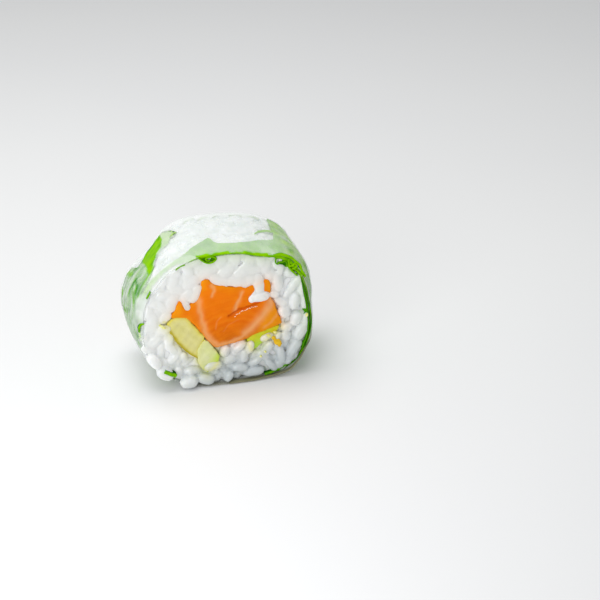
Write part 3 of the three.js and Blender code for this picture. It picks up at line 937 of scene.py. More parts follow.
# Beads of juice along the crease.
def makeJuiceBeads():
    dice = random.Random(12)
    bm = bmesh.new()
    startX, startZ, across, upward = salmon["beadRun"]
    for i in range(salmon["beads"]):
        t = (i + dice.uniform(0, 0.7)) / salmon["beads"]
        x = startX + across * t
        z = startZ + upward * math.sqrt(t) + dice.uniform(-0.35, 0.1)
        size = dice.uniform(*salmon["beadSize"])
        made = bmesh.ops.create_icosphere(bm, subdivisions=2, radius=size)
        bmesh.ops.translate(bm, vec=(x, salmon["near"] - salmon["bulge"] - 0.02, z), verts=made["verts"])
    beads = makeObject("juiceBeads", bm)
    finish = newFinish("juiceFinish", 0.1, coat=0.5)
    tone = cloudy(finish, (900, 0.4, 0.6), *salmon["juice"])
    finishPiece(beads, colourWith(finish, tone))


# Avocado: each piece's node, its ends along Y, its colours, and the side that lay next to the skin, which
# on the large piece is an olive band that is partly painted shadow.
avocado = {
    "avocadoLarge": {
        "node": "avocado_large", "grow": 0.3, "ends": (-14.6, 14.5),
        "pale": (219, 213, 143), "deep": (214, 208, 130),
        # The olive band along this piece's lower left edge is its skin side and partly painted shadow.
        "skin": (176, 160, 0), "skinWidth": 0.6, "yellowEdge": 0.8,
        "skinSide": [(-17.6, 20.4), (-15.0, 15.8), (-12.0, 12.0), (-9.6, 10.0)],
    },
    "avocadoSmall": {
        "node": "avocado_small", "grow": 0.2, "ends": (-15.1, 14.3),
        "pale": (222, 225, 172), "deep": (215, 220, 152),
        "skin": (196, 220, 80), "skinWidth": 1.7, "yellowEdge": 0.15,
        "skinSide": [(-2.7, 9.9), (-3.1, 8.1), (-6.4, 4.9)],
    },
    "avocadoSliver": {
        "node": "avocado_sliver", "grow": 0.1, "ends": (-14.2, 14.2),
        "pale": (212, 206, 20), "deep": (198, 210, 40),
        "skin": (178, 216, 66), "skinWidth": 2.4, "yellowEdge": 0.2,
        "skinSide": [(7.2, 11.4), (8.6, 10.3), (10.2, 11.4)],
    },
}
avocadoShared = {
    "voxel": 0.3,
    "smoothing": 3,
    "frontReach": 1.2,
    "frontLumps": 0.15,
    "lumps": 0.13,
    "edge": (228, 214, 48),
    "edgeWidth": 0.5,
}


def makeAvocado():
    for name, facts in avocado.items():
        bm = bmesh.new()
        addPrism(bm, grownOutline(fillings[name], facts["grow"]), *facts["ends"])
        obj = makeObject(name, bm)
        fuse(obj, avocadoShared["voxel"], avocadoShared["smoothing"])
        points = pointsOf(obj)
        x, z = fillingSource(points)
        front = facts["ends"][0]
        near = 1 - between(points[:, 1], front, front + avocadoShared["frontReach"])
        points[:, 1] += near * avocadoShared["frontLumps"] * ripple(points, 3.5, 12)
        points[:, 0] += avocadoShared["lumps"] * ripple(points, 1.7, 35)
        points[:, 2] += avocadoShared["lumps"] * ripple(points, 1.7, 36)
        setPoints(obj, points)
        paint(obj, "edge", np.exp(-distanceTo(x, z, fillings[name], True) / avocadoShared["edgeWidth"]))
        # The skin side's colour, on the large piece partly painted shadow.
        paint(obj, "skinSide", bell(distanceTo(x, z, facts["skinSide"]), facts["skinWidth"]))
        finish = newFinish(name + "Finish", 0.45, subsurface=0.2, radius=(1.2, 1.1, 0.4), specular=0.25)
        flesh = cloudy(finish, (380, 0.35, 0.7), facts["pale"], facts["deep"])
        layers = [("edge", avocadoShared["edge"], facts["yellowEdge"]), ("skinSide", facts["skin"], 1.0)]
        flesh = layered(finish, flesh, layers)
        skinBump(finish, 900, 0.3, 0.00015)
        finishPiece(obj, colourWith(finish, flesh), [facts["node"]])


# A thin sheet: cells around and along, placed by a rule from (share around, share along) to points, then
# given its thickness.
def makeSheet(name, cells, place, thickness, seam=False, offset=-1):
    bm = bmesh.new()
    bmesh.ops.create_grid(bm, x_segments=cells[0], y_segments=cells[1], size=0.5)
    obj = makeObject(name, bm)
    points = pointsOf(obj)
    setPoints(obj, place(points[:, 0] + 0.5, points[:, 1] + 0.5))
    bm = editable(obj)
    if seam:
        bmesh.ops.remove_doubles(bm, verts=bm.verts, dist=0.001)
    bmesh.ops.recalc_face_normals(bm, faces=bm.faces)
    middle = Vector((0, 0, roll["axisHeight"]))
    outward = sum(f.normal.dot((f.calc_center_median() - middle) * Vector((1, 0, 1))) for f in bm.faces)
    if outward < 0:
        bmesh.ops.reverse_faces(bm, faces=bm.faces)
    putBack(bm, obj)
    wall = obj.modifiers.new("wall", "SOLIDIFY")
    wall.thickness = thickness
    wall.offset = offset
    applyModifiers(obj)
    return obj


# Folds of the left leaf, which fan out from its front edge: lines of even share of the way to its back edge.
def foldLines(angle, y, folds):
    count, seed = folds
    start = edgeAt(leaves["leafLeft"]["front"], angle)
    share = np.clip((y - start) / (leaves["backEnd"] - start), 0, 1)
    flat = sideMap(angle, y)
    bent = share + 0.06 * ripple(flat, 9.0, seed + 1) + 0.02 * ripple(flat, 3.5, seed + 2)
    lines = ripple(np.stack([bent * count, angle / 40, 0 * y], axis=-1), 1.0, seed)
    return lines * (0.75 + 0.5 * ripple(flat, 6.0, seed + 3))


# How much deeper the leaf and the paper lie in the folds.
def foldDepth(angle, y):
    left = window(angle, leaves["foldStart"], leaves["foldEnd"])
    start = edgeAt(leaves["leafLeft"]["front"], angle)
    return leaves["foldDepth"] * left * between(y, start, start + 3) * foldLines(angle, y, leaves["folds"])


# Leaves under the paper, from a front edge to a back edge by angle.
leaves = {
    "leafOver": {
        "node": "leaf_over",
        "angles": (190, -60),
        "cells": (380, 36),
        "front": [(200, -13.9), (128, -14.0), (117, -14.7), (40, -14.8), (0, -14.5), (-28, -14.3),
                  (-45, -12.8), (-60, -14)],
        "back": [(200, -13.6), (180, -13.4), (160.8, -12.9), (156.5, -12.0), (150, -11.8), (146, -12.4),
                 (141.8, -12.7), (133.4, -13.1), (128.9, -12.9), (123.7, -12.2), (117.6, -10.5),
                 (112.5, -7.8), (106.9, -5.9), (102.1, -4.6), (97.4, -3.0), (96.2, -3.2), (95.3, -4.8),
                 (94.5, -6.2), (91.7, -7.4), (84.8, -8.2), (78.3, -8.3), (72.3, -8.0), (65.5, -7.2),
                 (59.4, -6.4), (54.6, -6.2), (51, -5.4), (48.4, -4), (47.4, -1), (45.6, 2.5), (44.5, 6),
                 (45.4, 8.8), (44.4, 12.4), (43, 13.6), (0, 13.8), (-30, 12), (-60, 6)],
    },
    "leafLeft": {
        "node": "leaf_left",
        "angles": (200, 117.2),
        "cells": (150, 60),
        "front": [(200, -13.2), (170, -12.8), (158.5, -11.9), (155.6, -10.9), (152.8, -10.8), (150.2, -10),
                  (148, -9.4), (145.5, -8.6), (143.9, -7), (142.1, -6.1), (141.2, -3.8), (139.6, -2.6),
                  (137.4, -1.8), (135.7, 0.7), (133.2, 1.1), (131.7, 1.4), (128.7, 1.4), (126, 1.9),
                  (124.6, 3.3), (122.8, 4.5), (119.6, 5.2), (117.2, 5.9)],
        "back": [(200, 13.8), (172, 13.6), (163, 12.8), (160, 10), (157.5, 7.8), (155, 8.6), (152.5, 10.3),
                 (150, 12.4), (147, 13.5), (128, 13.4), (124, 11.6), (121, 9.9), (118.8, 7.9),
                 (117.2, 6.4)],
    },
    "leafUnder": {
        "node": "leaf_under",
        "angles": (236, 216),
        "cells": (40, 40),
        "front": [(236, -10), (227, -14.4), (219, -14), (216, -12)],
        "back": [(236, 7), (226, 12), (216, 8)],
    },
    "leafShred": {
        "node": None,
        "angles": (61, 39),
        "cells": (50, 8),
        "front": [(61, -2.4), (57, -0.7), (52, 0.7), (48, 1.6), (44, 1.8), (39, 1.6)],
        "back": [(61, -2.0), (57, 0.4), (52, 2.0), (48, 2.9), (44, 3.2), (39, 3.4)],
    },
    "brightPatch": [(130.5, 13.4), (150.8, 12.5), (152.5, 10.1), (150.9, 5.0), (149.4, 2.9), (147.6, 0.3),
                    (146.8, -2.8), (147.4, -5.2), (147.0, -8.9), (144.3, -8.0), (142.2, -6.3),
                    (140.4, -3.7), (137.8, -2.5), (136.2, 0.2), (131.6, 1.8), (129.4, 8.1)],
    "palePatch": [(127.9, 13.6), (118.8, 8.0), (116.5, 5.9), (122.8, 4.3), (125.2, 1.6), (128.7, 1.2),
                  (131.7, 1.2), (129.4, 8.1), (130.4, 13.4)],
    # Where the paper clings in a streak: corners, width, and how deep the green is.
    "clearStreaks": [
        ([(141.6, -6.6), (144.2, -8.3), (148.1, -8.5), (151.5, -9.2), (154.5, -9.6), (157.8, -10.1),
          (160.1, -10.9)],
         0.75, 0.35),
        ([(154.9, 9.1), (155.5, 5.3), (159.5, 7.1), (160.8, 4.4)], 0.8, 0.9),
        ([(156.6, -3.1), (157.3, -6.1), (159.2, -7.6), (161.6, -8.3)], 0.6, 0.9),
        ([(159.8, -4.2), (162.2, -6.5), (164.2, -8.2), (166.3, -9.8)], 0.6, 0.6),
        ([(180, 13.4), (179.3, 10.8), (178, 8)], 1.1, 0.1),
        ([(167, 13), (166, 11.5), (162.8, 6.5)], 1.0, 0.1),
        ([(184.3, 8.7), (184.8, 5.6), (177.5, -3.9)], 0.8, 0.4),
    ],
    "tipEdge": [(127.2, 13.2), (121.0, 9.6), (118.6, 7.4), (117.8, 6.4), (120.2, 5.4), (122.9, 4.8)],
    "folds": (7, 61),  # how many, and a seed
    "fineFolds": (22, 71),
    "depth": 0.42,
    "ruffle": 0.06,
    "foldDepth": 0.16,
    "foldStart": (140, 155),
    "foldEnd": (195, 215),
    "backEnd": 14,
    "thickness": 0.3,
}


# How far a point of the side (angle, y) is in such a streak, and how deep its green is there.
def streakMasks(angle, y):
    clear = np.zeros(len(angle))
    deep = np.zeros(len(angle))
    for corners, width, depth in leaves["clearStreaks"]:
        mask = bell(sideDistance(angle, y, corners), width)
        clear = np.maximum(clear, mask)
        deep = np.maximum(deep, mask * depth)
    return clear, deep


# The leaves' greens. Below the layers, each leaf says how much its patterns make it deeper or paler.
leafTones = {
    "fresh": (136, 198, 0),
    "cloud": (112, 180, 2),
    "layers": [
        # deep and dark also carry painted shade: the lower right and the ribbons' hollows; dark also marks
        # the left leaf's spots
        ("deep", (36, 130, 10), 1.0),
        ("pale", (180, 214, 108), 1.0),
        ("dark", (18, 66, 2), 1.0),
    ],
    "patchBlur": 0.3,
    "upper": (150, 172),  # angles where the left leaf's upper part ends
    "rightSide": (42, 50),
    "lowRight": (5, 30),
    "lip": (112, 126),
    "left": {
        "deep": 0.3, "deepFolds": 0.5, "deepFineFolds": 0.55, "deepClouds": 0.2, "deepPatch": 0.35,
        "paleTip": 0.9, "paleFolds": 0.6, "paleUpper": 0.4, "tipEdge": 0.5,
    },
    "over": {
        # the lower right's deeper green is painted shade
        "deep": 0.06, "deepRight": 0.25, "shadeLow": 0.5, "deepLip": 0.3,
        "paleRight": 0.45, "paleClouds": 0.4, "paleLip": 0.7,
    },
    "shredPale": 0.25,
}


def leafMaterial():
    finish = newFinish("leafFinish", 0.55, specular=0.02)
    green = cloudy(finish, (300, 0.42, 0.7, (1, 0.5, 1)), leafTones["fresh"], leafTones["cloud"])
    green = layered(finish, green, leafTones["layers"])
    skinBump(finish, 700, 0.5, 0.0003, (1, 0.5, 1))
    return colourWith(finish, green)


# The left leaf's deep, pale and dark shares: folds, clear streaks, a bright patch and a pale tip.
def leftLeafMasks(angle, y, clouds):
    amounts = leafTones["left"]
    bright = areaMask(angle, y, leaves["brightPatch"], leafTones["patchBlur"])
    tip = areaMask(angle, y, leaves["palePatch"], leafTones["patchBlur"])
    streaks = foldLines(angle, y, leaves["folds"])
    narrow = between(foldLines(angle, y, leaves["fineFolds"]), 0.2, 0.8)
    upper = 1 - between(angle, *leafTones["upper"])
    deep = amounts["deep"] + amounts["deepFolds"] * streaks
    deep = deep + amounts["deepFineFolds"] * narrow + amounts["deepClouds"] * clouds
    deep *= (1 - bright) * (1 - tip)
    ridges = (1 - bright) * between(-streaks, 0.3, 0.9)
    pale = tip * amounts["paleTip"] + ridges * (amounts["paleFolds"] - amounts["paleUpper"] * upper)
    edge = sideDistance(angle, y, leaves["tipEdge"])
    spots = ripple(np.stack([angle, y, 0 * y], axis=-1), 1.6, 3)
    dots = bell(edge, amounts["tipEdge"]) * between(spots, -0.4, 0.2)
    clear, green = streakMasks(angle, y)
    patch = amounts["deepPatch"] * bright * between(clouds, -0.2, 0.9)
    return deep * (1 - clear) + green + dots + patch, pale * (1 - dots) * (1 - clear), dots


# The same for the leaf over the top and the right side: paler at its lip, with painted shade at the lower
# right.
def overLeafMasks(angle, y, clouds):
    amounts = leafTones["over"]
    right = 1 - between(angle, *leafTones["rightSide"])
    lip = between(angle, *leafTones["lip"])
    low = 1 - between(angle, *leafTones["lowRight"])
    along = ripple(np.stack([y * 1.5, angle / 30, 0 * y], axis=-1), 1.5, 7)
    # Painted shade: deeper green at the lower right.
    deep = right * (amounts["deep"] + amounts["deepRight"] * clouds) + amounts["shadeLow"] * low
    deep = deep + amounts["deep"] * clouds + lip * amounts["deepLip"] * along
    pale = right * (1 - low) * (amounts["paleRight"] - amounts["paleClouds"] * clouds)
    return deep, pale + lip * (amounts["paleLip"] - amounts["paleClouds"] * along), 0 * y


def makeLeaves(material):
    for number, name in enumerate(("leafOver", "leafLeft", "leafUnder", "leafShred")):
        leaf = leaves[name]

        def place(around, along, leaf=leaf, number=number):
            first, last = leaf["angles"]
            angle = first + (last - first) * around
            ragged = np.stack([angle / 4, 0 * angle, 0 * angle + number * 9], axis=-1)
            front = edgeAt(leaf["front"], angle) + 0.12 * ripple(ragged, 1.0, number)
            back = edgeAt(leaf["back"], angle) + 0.15 * ripple(ragged, 0.8, number + 20)
            y = front + (back - front) * along
            waves = np.clip(ripple(sideMap(angle, y), 6.0, number + 40), -1, 1)
            depth = leaves["depth"] + leaves["ruffle"] * waves
            return onRoll(angle, y, depth + rimCurl(angle, y) + foldDepth(angle, y))

        obj = makeSheet(name, leaf["cells"], place, leaves["thickness"])
        points = pointsOf(obj)
        angle = angleOf(points) % 360
        angle = np.where(angle > 270, angle - 360, angle)
        y = points[:, 1]
        clouds = ripple(sideMap(angle, y), 4.5, number + 80)
        masks = leftLeafMasks if name == "leafLeft" else overLeafMasks
        deep, pale, dark = masks(angle, y, clouds)
        if name == "leafShred":
            pale = leafTones["shredPale"] + 0 * y
        paint(obj, "dark", dark)
        paint(obj, "deep", deep)
        paint(obj, "pale", pale)
        finishPiece(obj, material, [leaf["node"]] if leaf["node"] else [])


# The leaf's cut edge along the rim: its thickness and its depth under the paper by angle.
leafRim = {
    "thick": [(112, 0.1), (109, 0.5), (104, 0.65), (98, 0.6), (93, 0.45), (88, 0.38), (80, 0.34), (72, 0.3),
              (66, 0.28), (60, 0.45), (55, 0.7), (50, 0.9), (42, 1.0), (34, 0.9), (27, 0.5), (22, 0.7),
              (14, 1.1), (0, 1.3), (-12, 1.1), (-20, 0.6), (-24, 0.2), (-27, 0.5), (-30, 0.2)],
    "outer": [(112, 0.3), (60, 0.35), (44, 0.5), (25, 1.3), (0, 1.55), (-30, 1.3)],
    "front": [(112, -15.0), (60, -15.05), (40, -14.9), (20, -14.6), (-30, -14.5)],
    "angles": (112, -30),
    "length": 1.6,
    "cells": (300, 8),
    # painted shade: the rim's lower right is painted deeper green
    "shadeLow": 0.75,
    "deepInner": 0.5,
}


def makeLeafRim(material):
    bm = bmesh.new()
    bmesh.ops.create_cube(bm, size=1)
    for axis, cuts in enumerate(leafRim["cells"]):
        edges = [e for e in bm.edges if abs(e.verts[0].co[axis] - e.verts[1].co[axis]) > 0.5]
        bmesh.ops.subdivide_edges(bm, edges=edges, cuts=cuts, use_grid_fill=True)
    obj = makeObject("leafRim", bm)
    points = pointsOf(obj)
    start, end = leafRim["angles"]
    angle = start + (end - start) * (points[:, 0] + 0.5)
    flat = sideMap(angle, points[:, 1] * 2)
    y = edgeAt(leafRim["front"], angle) + leafRim["length"] * (points[:, 1] + 0.5)
    y += 0.1 * ripple(flat, 3.0, 2)
    thick = edgeAt(leafRim["thick"], angle) * (1 + 0.25 * ripple(flat, 1.6, 5))
    outer = edgeAt(leafRim["outer"], angle) + 0.1 * ripple(flat, 5.0, 6)
    depth = np.where(points[:, 2] > 0, outer, outer + thick)
    setPoints(obj, onRoll(angle, y, depth))
    bm = editable(obj)
    bmesh.ops.recalc_face_normals(bm, faces=bm.faces)
    putBack(bm, obj)
    points = pointsOf(obj)
    angle = angleOf(points)
    inner = depthUnder(points) - edgeAt(leafRim["outer"], angle)
    # Painted shade: deeper green at the lower right.
    low = leafRim["shadeLow"] * (1 - between(angle, 18, 34))
    paint(obj, "deep", low + leafRim["deepInner"] * between(inner, 0.5, 1.6) * between(angle, 20, 30))
    paint(obj, "pale", 0 * angle)
    finishPiece(obj, material, ["leaf_over"])


# Crumpled leaf and loose shreds on the shown cut, as ribbons along drawn lines (x, z): the node, the near
# and the far y, the thickness, how deep the green is, how dark it is painted as shade, and the line.
ribbons = {
    # The two ribbons behind the folds are painted deep and dark as shade.
    "leafFoldBehind": (
        "leaf_fold", (-14.6, -12), 2.2, 0.8, 0.5,
        [(16.2, 40.1), (18.2, 39.4), (20.0, 38.2), (21.5, 36.5), (22.7, 35.0)],
    ),
    "leafCurlBehind": (
        "leaf_curl", (-14.8, -12.5), 1.4, 0.7, 0.4,
        [(-7.3, 43.6), (-5.0, 43.0), (-2.9, 43.7)],
    ),
    "leafFold1": (
        "leaf_fold", (-15.1, -14.2), 0.7, 0.0, 0,
        [(14.8, 41.9), (17.1, 42.0), (18.9, 41.4), (20.7, 40.2), (21.8, 39.0), (23.0, 37.6), (23.4, 36.4),
         (23.9, 35.2), (24.7, 33.6)],
    ),
    "leafFold2": (
        "leaf_fold", (-14.9, -13.5), 0.5, 0.4, 0,
        [(15.7, 41.0), (17.3, 40.9), (19.2, 40.3), (20.5, 39.2), (21.1, 38.2), (21.8, 37.4), (22.9, 36.6),
         (23.4, 35.7), (24.0, 34.6)],
    ),
    "leafFold3": (
        "leaf_fold", (-15.0, -13.5), 0.4, 0.45, 0,
        [(15.6, 41.0), (15.5, 39.4), (16.0, 38.9), (16.6, 39.6), (17.5, 39.5), (18.3, 39.7), (18.9, 38.9),
         (19.0, 38.2), (18.4, 37.8)],
    ),
    "leafFold4": (
        "leaf_fold", (-15.2, -13.5), 0.5, 0.0, 0,
        [(19.5, 40.4), (19.5, 38.9), (19.9, 37.9), (20.7, 38.0), (21.2, 38.6), (21.9, 38.0), (21.4, 37.1),
         (20.5, 37.0)],
    ),
    "leafFold5": (
        "leaf_fold", (-14.9, -13.5), 0.55, 0.1, 0,
        [(19.2, 38.0), (20.0, 36.8), (21.0, 35.6), (22.2, 34.3)],
    ),
    "leafFold6": (
        "leaf_fold", (-15.1, -13.5), 0.5, 0.25, 0,
        [(20.6, 37.0), (22.1, 36.1), (23.0, 35.3), (23.9, 34.3)],
    ),
    "leafCurl": (
        "leaf_curl", (-15.15, -13.5), 0.42, 0.1, 0,
        [(-8.2, 44.1), (-7.3, 43.1), (-6.2, 42.3), (-4.8, 42.0), (-3.5, 42.4), (-2.8, 43.2), (-3.6, 43.8),
         (-4.9, 43.9), (-6.0, 43.5), (-5.8, 42.9), (-4.7, 42.8)],
    ),
    "leafCurlTop": (
        "leaf_curl", (-14.9, -14.0), 0.4, 0.1, 0,
        [(-7.6, 43.9), (-5.0, 44.3), (-2.4, 44.2), (-1.4, 44.4)],
    ),
    "leafBitRight": (
        "leaf_over", (-14.6, -12.5), 0.6, 0.6, 0,
        [(11.8, 1.1), (13.4, 1.5), (16.0, 2.4), (18.6, 3.7), (20.6, 5.0)],
    ),
    "leafBitLeft": (
        "leaf_under", (-16.4, -12.5), 1.0, 0.3, 0,
        [(-19.9, 7.6), (-18.4, 6.6), (-16.4, 5.6)],
    ),
    "leafStreakTop": (
        "leaf_over", (-14.9, -13.8), 0.25, 0.1, 0,
        [(-12.3, 42.2), (-14.0, 41.6), (-15.2, 40.8)],
    ),
    "leafStreakSide": (
        "leaf_over", (-14.9, -13.8), 0.3, 0.2, 0,
        [(-23.0, 34.5), (-23.7, 33.3), (-24.3, 32.3)],
    ),
    "leafStreakLow": (
        "leaf_left", (-14.9, -13.0), 0.5, 0.3, 0,
        [(-25.4, 24.2), (-26.4, 23.8), (-26.9, 23.0), (-26.9, 21.4)],
    ),
}
ribbonCell = (0.22, 0.4)


# A smooth line through drawn points, by share of its length.
def curveThrough(corners, share):
    corners = np.array(corners)
    steps = np.hypot(*np.diff(corners, axis=0).T)
    lengths = np.concatenate([[0], np.cumsum(steps)])
    at = share * lengths[-1]
    slopes = np.gradient(corners, lengths, axis=0)
    i = np.clip(np.searchsorted(lengths, at, side="right") - 1, 0, len(steps) - 1)
    run = steps[i]
    t = ((at - lengths[i]) / run)[:, None]
    start, end = corners[i], corners[i + 1]
    leave, arrive = slopes[i] * run[:, None], slopes[i + 1] * run[:, None]
    blend = t * t * (3 - 2 * t)
    return start * (1 - blend) + end * blend + leave * t * (1 - t) ** 2 - arrive * t * t * (1 - t)


def makeRibbons(material):
    for number, (name, facts) in enumerate(ribbons.items()):
        node, (near, far), thick, deep, dark, corners = facts

        def place(around, along, near=near, far=far, corners=corners, number=number):
            line = curveThrough(corners, around)
            flat = np.stack([around * 8, along * 4, 0 * around + number], axis=-1)
            y = near + (far - near) * along + 0.12 * ripple(flat, 3.0, number)
            shift = 0.06 * ripple(flat, 2.0, number + 5)
            return np.stack([line[:, 0] + roll["sideways"] + shift, y, line[:, 1] + shift], axis=-1)

        long = sum(math.dist(a, b) for a, b in zip(corners, corners[1:]))
        cells = (int(long / ribbonCell[0]) + 3, int((far - near) / ribbonCell[1]) + 2)
        obj = makeSheet(name, cells, place, thick, offset=0)
        points = pointsOf(obj)
        # Painted shade: each ribbon's hollow behind its front edge is painted deep and dark green.
        hollowShade = between(points[:, 1], near + 0.2, near + 1.3)
        paint(obj, "deep", deep + hollowShade + 0.15 * ripple(points, 1.6, number))
        paint(obj, "dark", 0.9 * hollowShade + dark)
        paint(obj, "pale", 0 * hollowShade)
        finishPiece(obj, material, [node])


# The rice paper: a thin film, clear where it clings to wet leaf and milky elsewhere. milk lists areas of
# the side (angle, y) with how milky the paper is there and how soft the area's edge is.
paper = {
    "cells": (360, 84),
    "front": [(-180, -15.0), (-150, -14.3), (-118, -14.5), (-106, -15.6), (-92, -16.1), (-70, -16.1),
              (-45, -15.5), (-25, -15.0), (20, -15.0), (60, -14.8), (110, -14.8), (122, -15.0),
              (180, -15.0)],
    "back": 15.0,
    "depth": 0.13,
    "thickness": 0.1,
    "wrinkle": 0.06,
    "endWave": 0.25,
    "milky": 0.3,
    "film": (246, 249, 248),
    "cloud": (236, 243, 238),
    # painted shade: the film's olive colour along its lower front rim
    "filmShadeColour": (150, 148, 116),
    "streakClear": 0.85,
    "foldStart": (140, 152),
    "foldEnd": (200, 215),
    "foldMilk": (0.24, 0.08),  # how clear the folds are, and how much less so at the top
    "cloudMilk": 0.06,
    "rightSide": (40, 50),
    "rightClouds": 0.12,
    # how far from the front the rim's painted shade starts
    "filmShadeFrom": (12.5, 14.2),
    "milk": [
        ([(60, -16), (120, -16), (120, -3), (60, -3)], 0.25, 1.5),
        ([(50, 16), (-70, 16), (-70, -16), (50, -16)], 0.2, 2.0),
        ([(215, 16), (148, 16), (140, -10), (160, -13), (215, -13)], 0.31, 2.0),
        (leaves["palePatch"], 0.3, 0.4),
        ([(116, 5.2), (117, 7.6), (121, 10.4), (122.6, 9.8), (119.6, 6.9), (123, 5.2),
          (123, 4.2)], 0.04, 0.3),
        (leaves["brightPatch"], 0.0, 0.25),
        ([(62, -3.2), (57, -1.6), (48, 0.8), (40, 1), (40, 4), (48, 4), (57, 1.4), (62, -1.4)], 0.14, 0.4),
        ([(112, -14.4), (118, -12), (124, -12.2), (133, -13), (142, -12.6), (150, -11.6), (157, -12),
          (161, -12.8), (215, -12.8), (215, -17), (112, -17)], 0.34, 0.4),
        ([(135, -13.9), (215, -13.9), (215, -17), (135, -17)], 0.45, 0.4),
        ([(35, -14.1), (-20, -14.1), (-20, -17), (35, -17)], 0.6, 0.3),
        ([(-20, -13), (-110, -13), (-110, -17), (-20, -17)], 0.75, 0.5),
    ],
}


def makePaper():
    def place(around, along):
        angle = around * 360 - 180
        front = edgeAt(paper["front"], angle)
        y = front + (paper["back"] - front) * along
        flat = onRoll(angle, y, 0 * angle)
        y = y + paper["endWave"] * ripple(flat * (1, 0, 1), 14.0, 4) * np.abs(2 * along - 1) ** 3
        turned = angle % 360
        fine = np.clip(ripple(flat * (1, 0.45, 1), 3.2, 16), -1.2, 1.2)
        depth = paper["depth"] + paper["wrinkle"] * fine + rimCurl(angle, y) + foldDepth(turned, y)
        return onRoll(angle, y, np.maximum(depth, 0.02))

    obj = makeSheet("paperFilm", paper["cells"], place, paper["thickness"], seam=True)
    points = pointsOf(obj)
    angle = angleOf(points) % 360
    y = points[:, 1]
    left = window(angle, paper["foldStart"], paper["foldEnd"])
    streaks = foldLines(angle, y, leaves["folds"]) + 0.5 * foldLines(angle, y, leaves["fineFolds"])
    angle = np.where(angle > 270, angle - 360, angle)
    clouds = ripple(sideMap(angle, y * 0.8), 5.0, 17)
    milk = paper["milky"] + paper["cloudMilk"] * clouds
    for corners, amount, blur in paper["milk"]:
        area = areaMask(angle, y, corners, blur)
        milk = milk * (1 - area) + amount * area
    right = 1 - between(angle, *paper["rightSide"])
    bright = areaMask(angle, y, leaves["brightPatch"], leafTones["patchBlur"])
    upper = 1 - between(angle, *leafTones["upper"])
    folded = left * (1 - bright)
    clear, less = paper["foldMilk"]
    milk = milk - folded * ((clear - less * upper) * streaks + less * upper)
    milk += right * paper["rightClouds"] * clouds
    milk = milk * (1 - paper["streakClear"] * streakMasks(angle, y)[0])
    paint(obj, "milk", milk)
    # Painted shade: the film is painted olive along its front rim, from the bottom round the right side,
    # weaker at the right.
    wrapped = (angle + 180) % 360 - 180
    low = between(wrapped, -125, -112) * (1 - 0.6 * between(wrapped, -25, 0)) * (1 - between(wrapped, 25, 40))
    paint(obj, "filmShade", low * between(-y, *paper["filmShadeFrom"]))

    finish = newFinish("paperFinish", 0.5, specular=0.22)
    feed(finish, shaderOf(finish).inputs["Alpha"], painted(finish, "milk"))
    film = cloudy(finish, (300, 0.4, 0.6), paper["film"], paper["cloud"])
    film = layered(finish, film, [("filmShade", paper["filmShadeColour"], 1.0)])
    skinBump(finish, 420, 0.25, 0.0003, (1, 0.4, 1))
    finishPiece(obj, colourWith(finish, film), ["rice_paper"])


# Small crumbs of avocado and yellow filling on the shown cut: x, z, width, height, turn, how far forward.
crumbs = {
    "yellowCrumb": [(15.4, 12.7, 1.5, 0.9, 0.9, 0.1), (16.2, 11.7, 0.8, 0.9, 0.2, 0.1),
                    (14.4, 13.9, 0.8, 0.6, 0.5, 0.0)],
    "paleCrumb": [(12.8, 15.0, 0.9, 0.5, 0.4, 0.1), (14.8, 15.9, 0.7, 0.4, 0.2, 0.1),
                  (11.6, 9.6, 0.5, 0.3, 0.2, 0.3), (10.2, 8.2, 0.45, 0.3, -0.5, 0.3),
                  (24.9, 20.7, 0.5, 0.6, 0.2, 0.3), (-20.2, 22.8, 1.4, 0.4, 0.6, 0.6)],
    "colours": {
        "yellowCrumb": ((222, 174, 4), (234, 194, 40)),
        "paleCrumb": ((226, 226, 120), (238, 236, 170)),
    },
    "thick": 0.6,
    "faceY": -14.9,
    "voxel": 0.15,
}


def makeCrumbs():
    dice = random.Random(4)
    for name in ("yellowCrumb", "paleCrumb"):
        bm = bmesh.new()
        for x, z, wide, tall, turn, proud in crumbs[name]:
            made = bmesh.ops.create_icosphere(bm, subdivisions=3, radius=1)
            for v in made["verts"]:
                v.co *= 1 + 0.16 * math.sin(v.co.x * 3.1 + dice.random()) + 0.1 * math.sin(v.co.z * 6.3 + 1)
            size = Matrix.Diagonal((wide, crumbs["thick"], tall, 1))
            place = Matrix.Translation((x, crumbs["faceY"] - proud, z))
            bmesh.ops.transform(bm, matrix=place @ Matrix.Rotation(turn, 4, "Y") @ size, verts=made["verts"])
        obj = makeObject(name, bm)
        fuse(obj, crumbs["voxel"], 1)
        finish = newFinish(name + "Finish", 0.4, subsurface=0.1, radius=(1, 0.6, 0.1), specular=0.2)
        tone = cloudy(finish, (600, 0.35, 0.65), *crumbs["colours"][name])
        skinBump(finish, 1200, 0.4, 0.0002)
        finishPiece(obj, colourWith(finish, tone))


# Floor, light and camera.
stage = {
    "floorSize": 3.0,
    "floor": (236, 237, 237),
    "floorCloud": (233, 234, 235),
    "worldLight": 0.46,
    "aim": (0, 0, 0.02),
    "lights": {  # place, size, power
        "keyLight": ((-0.1, 0.06, 0.5), 0.4, 1.7),
        "fillLight": ((-0.15, -0.2, 0.12), 0.15, 0.27),
    },
}


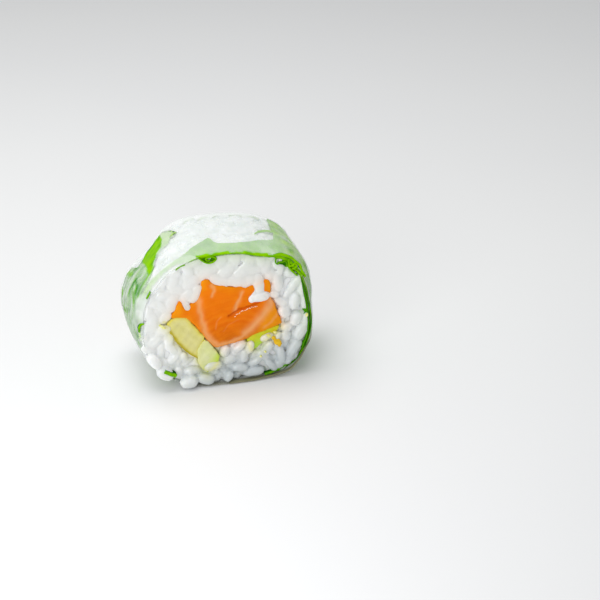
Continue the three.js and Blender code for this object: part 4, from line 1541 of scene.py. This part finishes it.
def makeStage():
    bm = bmesh.new()
    bmesh.ops.create_grid(bm, x_segments=1, y_segments=1, size=stage["floorSize"])
    floor = makeObject("floor", bm)
    finish = newFinish("floorFinish", 0.7, specular=0.1)
    tone = cloudy(finish, (3, 0.3, 0.7), stage["floor"], stage["floorCloud"])
    floor.data.materials.append(colourWith(finish, tone))

    world = bpy.data.worlds.new("studio")
    world.use_nodes = True
    world.node_tree.nodes["Background"].inputs["Color"].default_value = (1, 1, 1, 1)
    world.node_tree.nodes["Background"].inputs["Strength"].default_value = stage["worldLight"]
    bpy.context.scene.world = world
    for name, (place, size, power) in stage["lights"].items():
        light = bpy.data.lights.new(name, "AREA")
        light.size = size
        light.energy = power
        lamp = bpy.data.objects.new(name, light)
        lamp.location = place
        aim = Vector(stage["aim"]) - Vector(place)
        lamp.rotation_euler = aim.to_track_quat("-Z", "Y").to_euler()
        bpy.context.scene.collection.objects.link(lamp)


view = {
    "azimuth": -14.807,
    "elevation": 27.147,
    "fieldOfView": 20.0,
    "target": (26.79, 0.0, 18.02),
    "distance": 538.1,
}


def makeCamera():
    turn = math.radians(view["azimuth"])
    rise = math.radians(view["elevation"])
    back = Vector((math.sin(turn) * math.cos(rise), -math.cos(turn) * math.cos(rise), math.sin(rise)))
    data = bpy.data.cameras.new("camera")
    data.sensor_width = 36
    data.angle = math.radians(view["fieldOfView"])
    data.clip_start = 0.01
    camera = bpy.data.objects.new("camera", data)
    camera.location = (Vector(view["target"]) + back * view["distance"]) * 0.001
    camera.rotation_euler = back.to_track_quat("Z", "Y").to_euler()
    bpy.context.scene.collection.objects.link(camera)
    bpy.context.scene.camera = camera
    bpy.context.scene.view_settings.view_transform = "Standard"


makeCamera()
makeStage()
print("stage made")
riceFinish = riceMaterial()
makeRiceBody(riceFinish)
makeRice(riceFinish)
makeSalmon()
makeJuiceBeads()
makeAvocado()
leafFinish = leafMaterial()
makeLeaves(leafFinish)
makeLeafRim(leafFinish)
makeRibbons(leafFinish)
makePaper()
makeCrumbs()
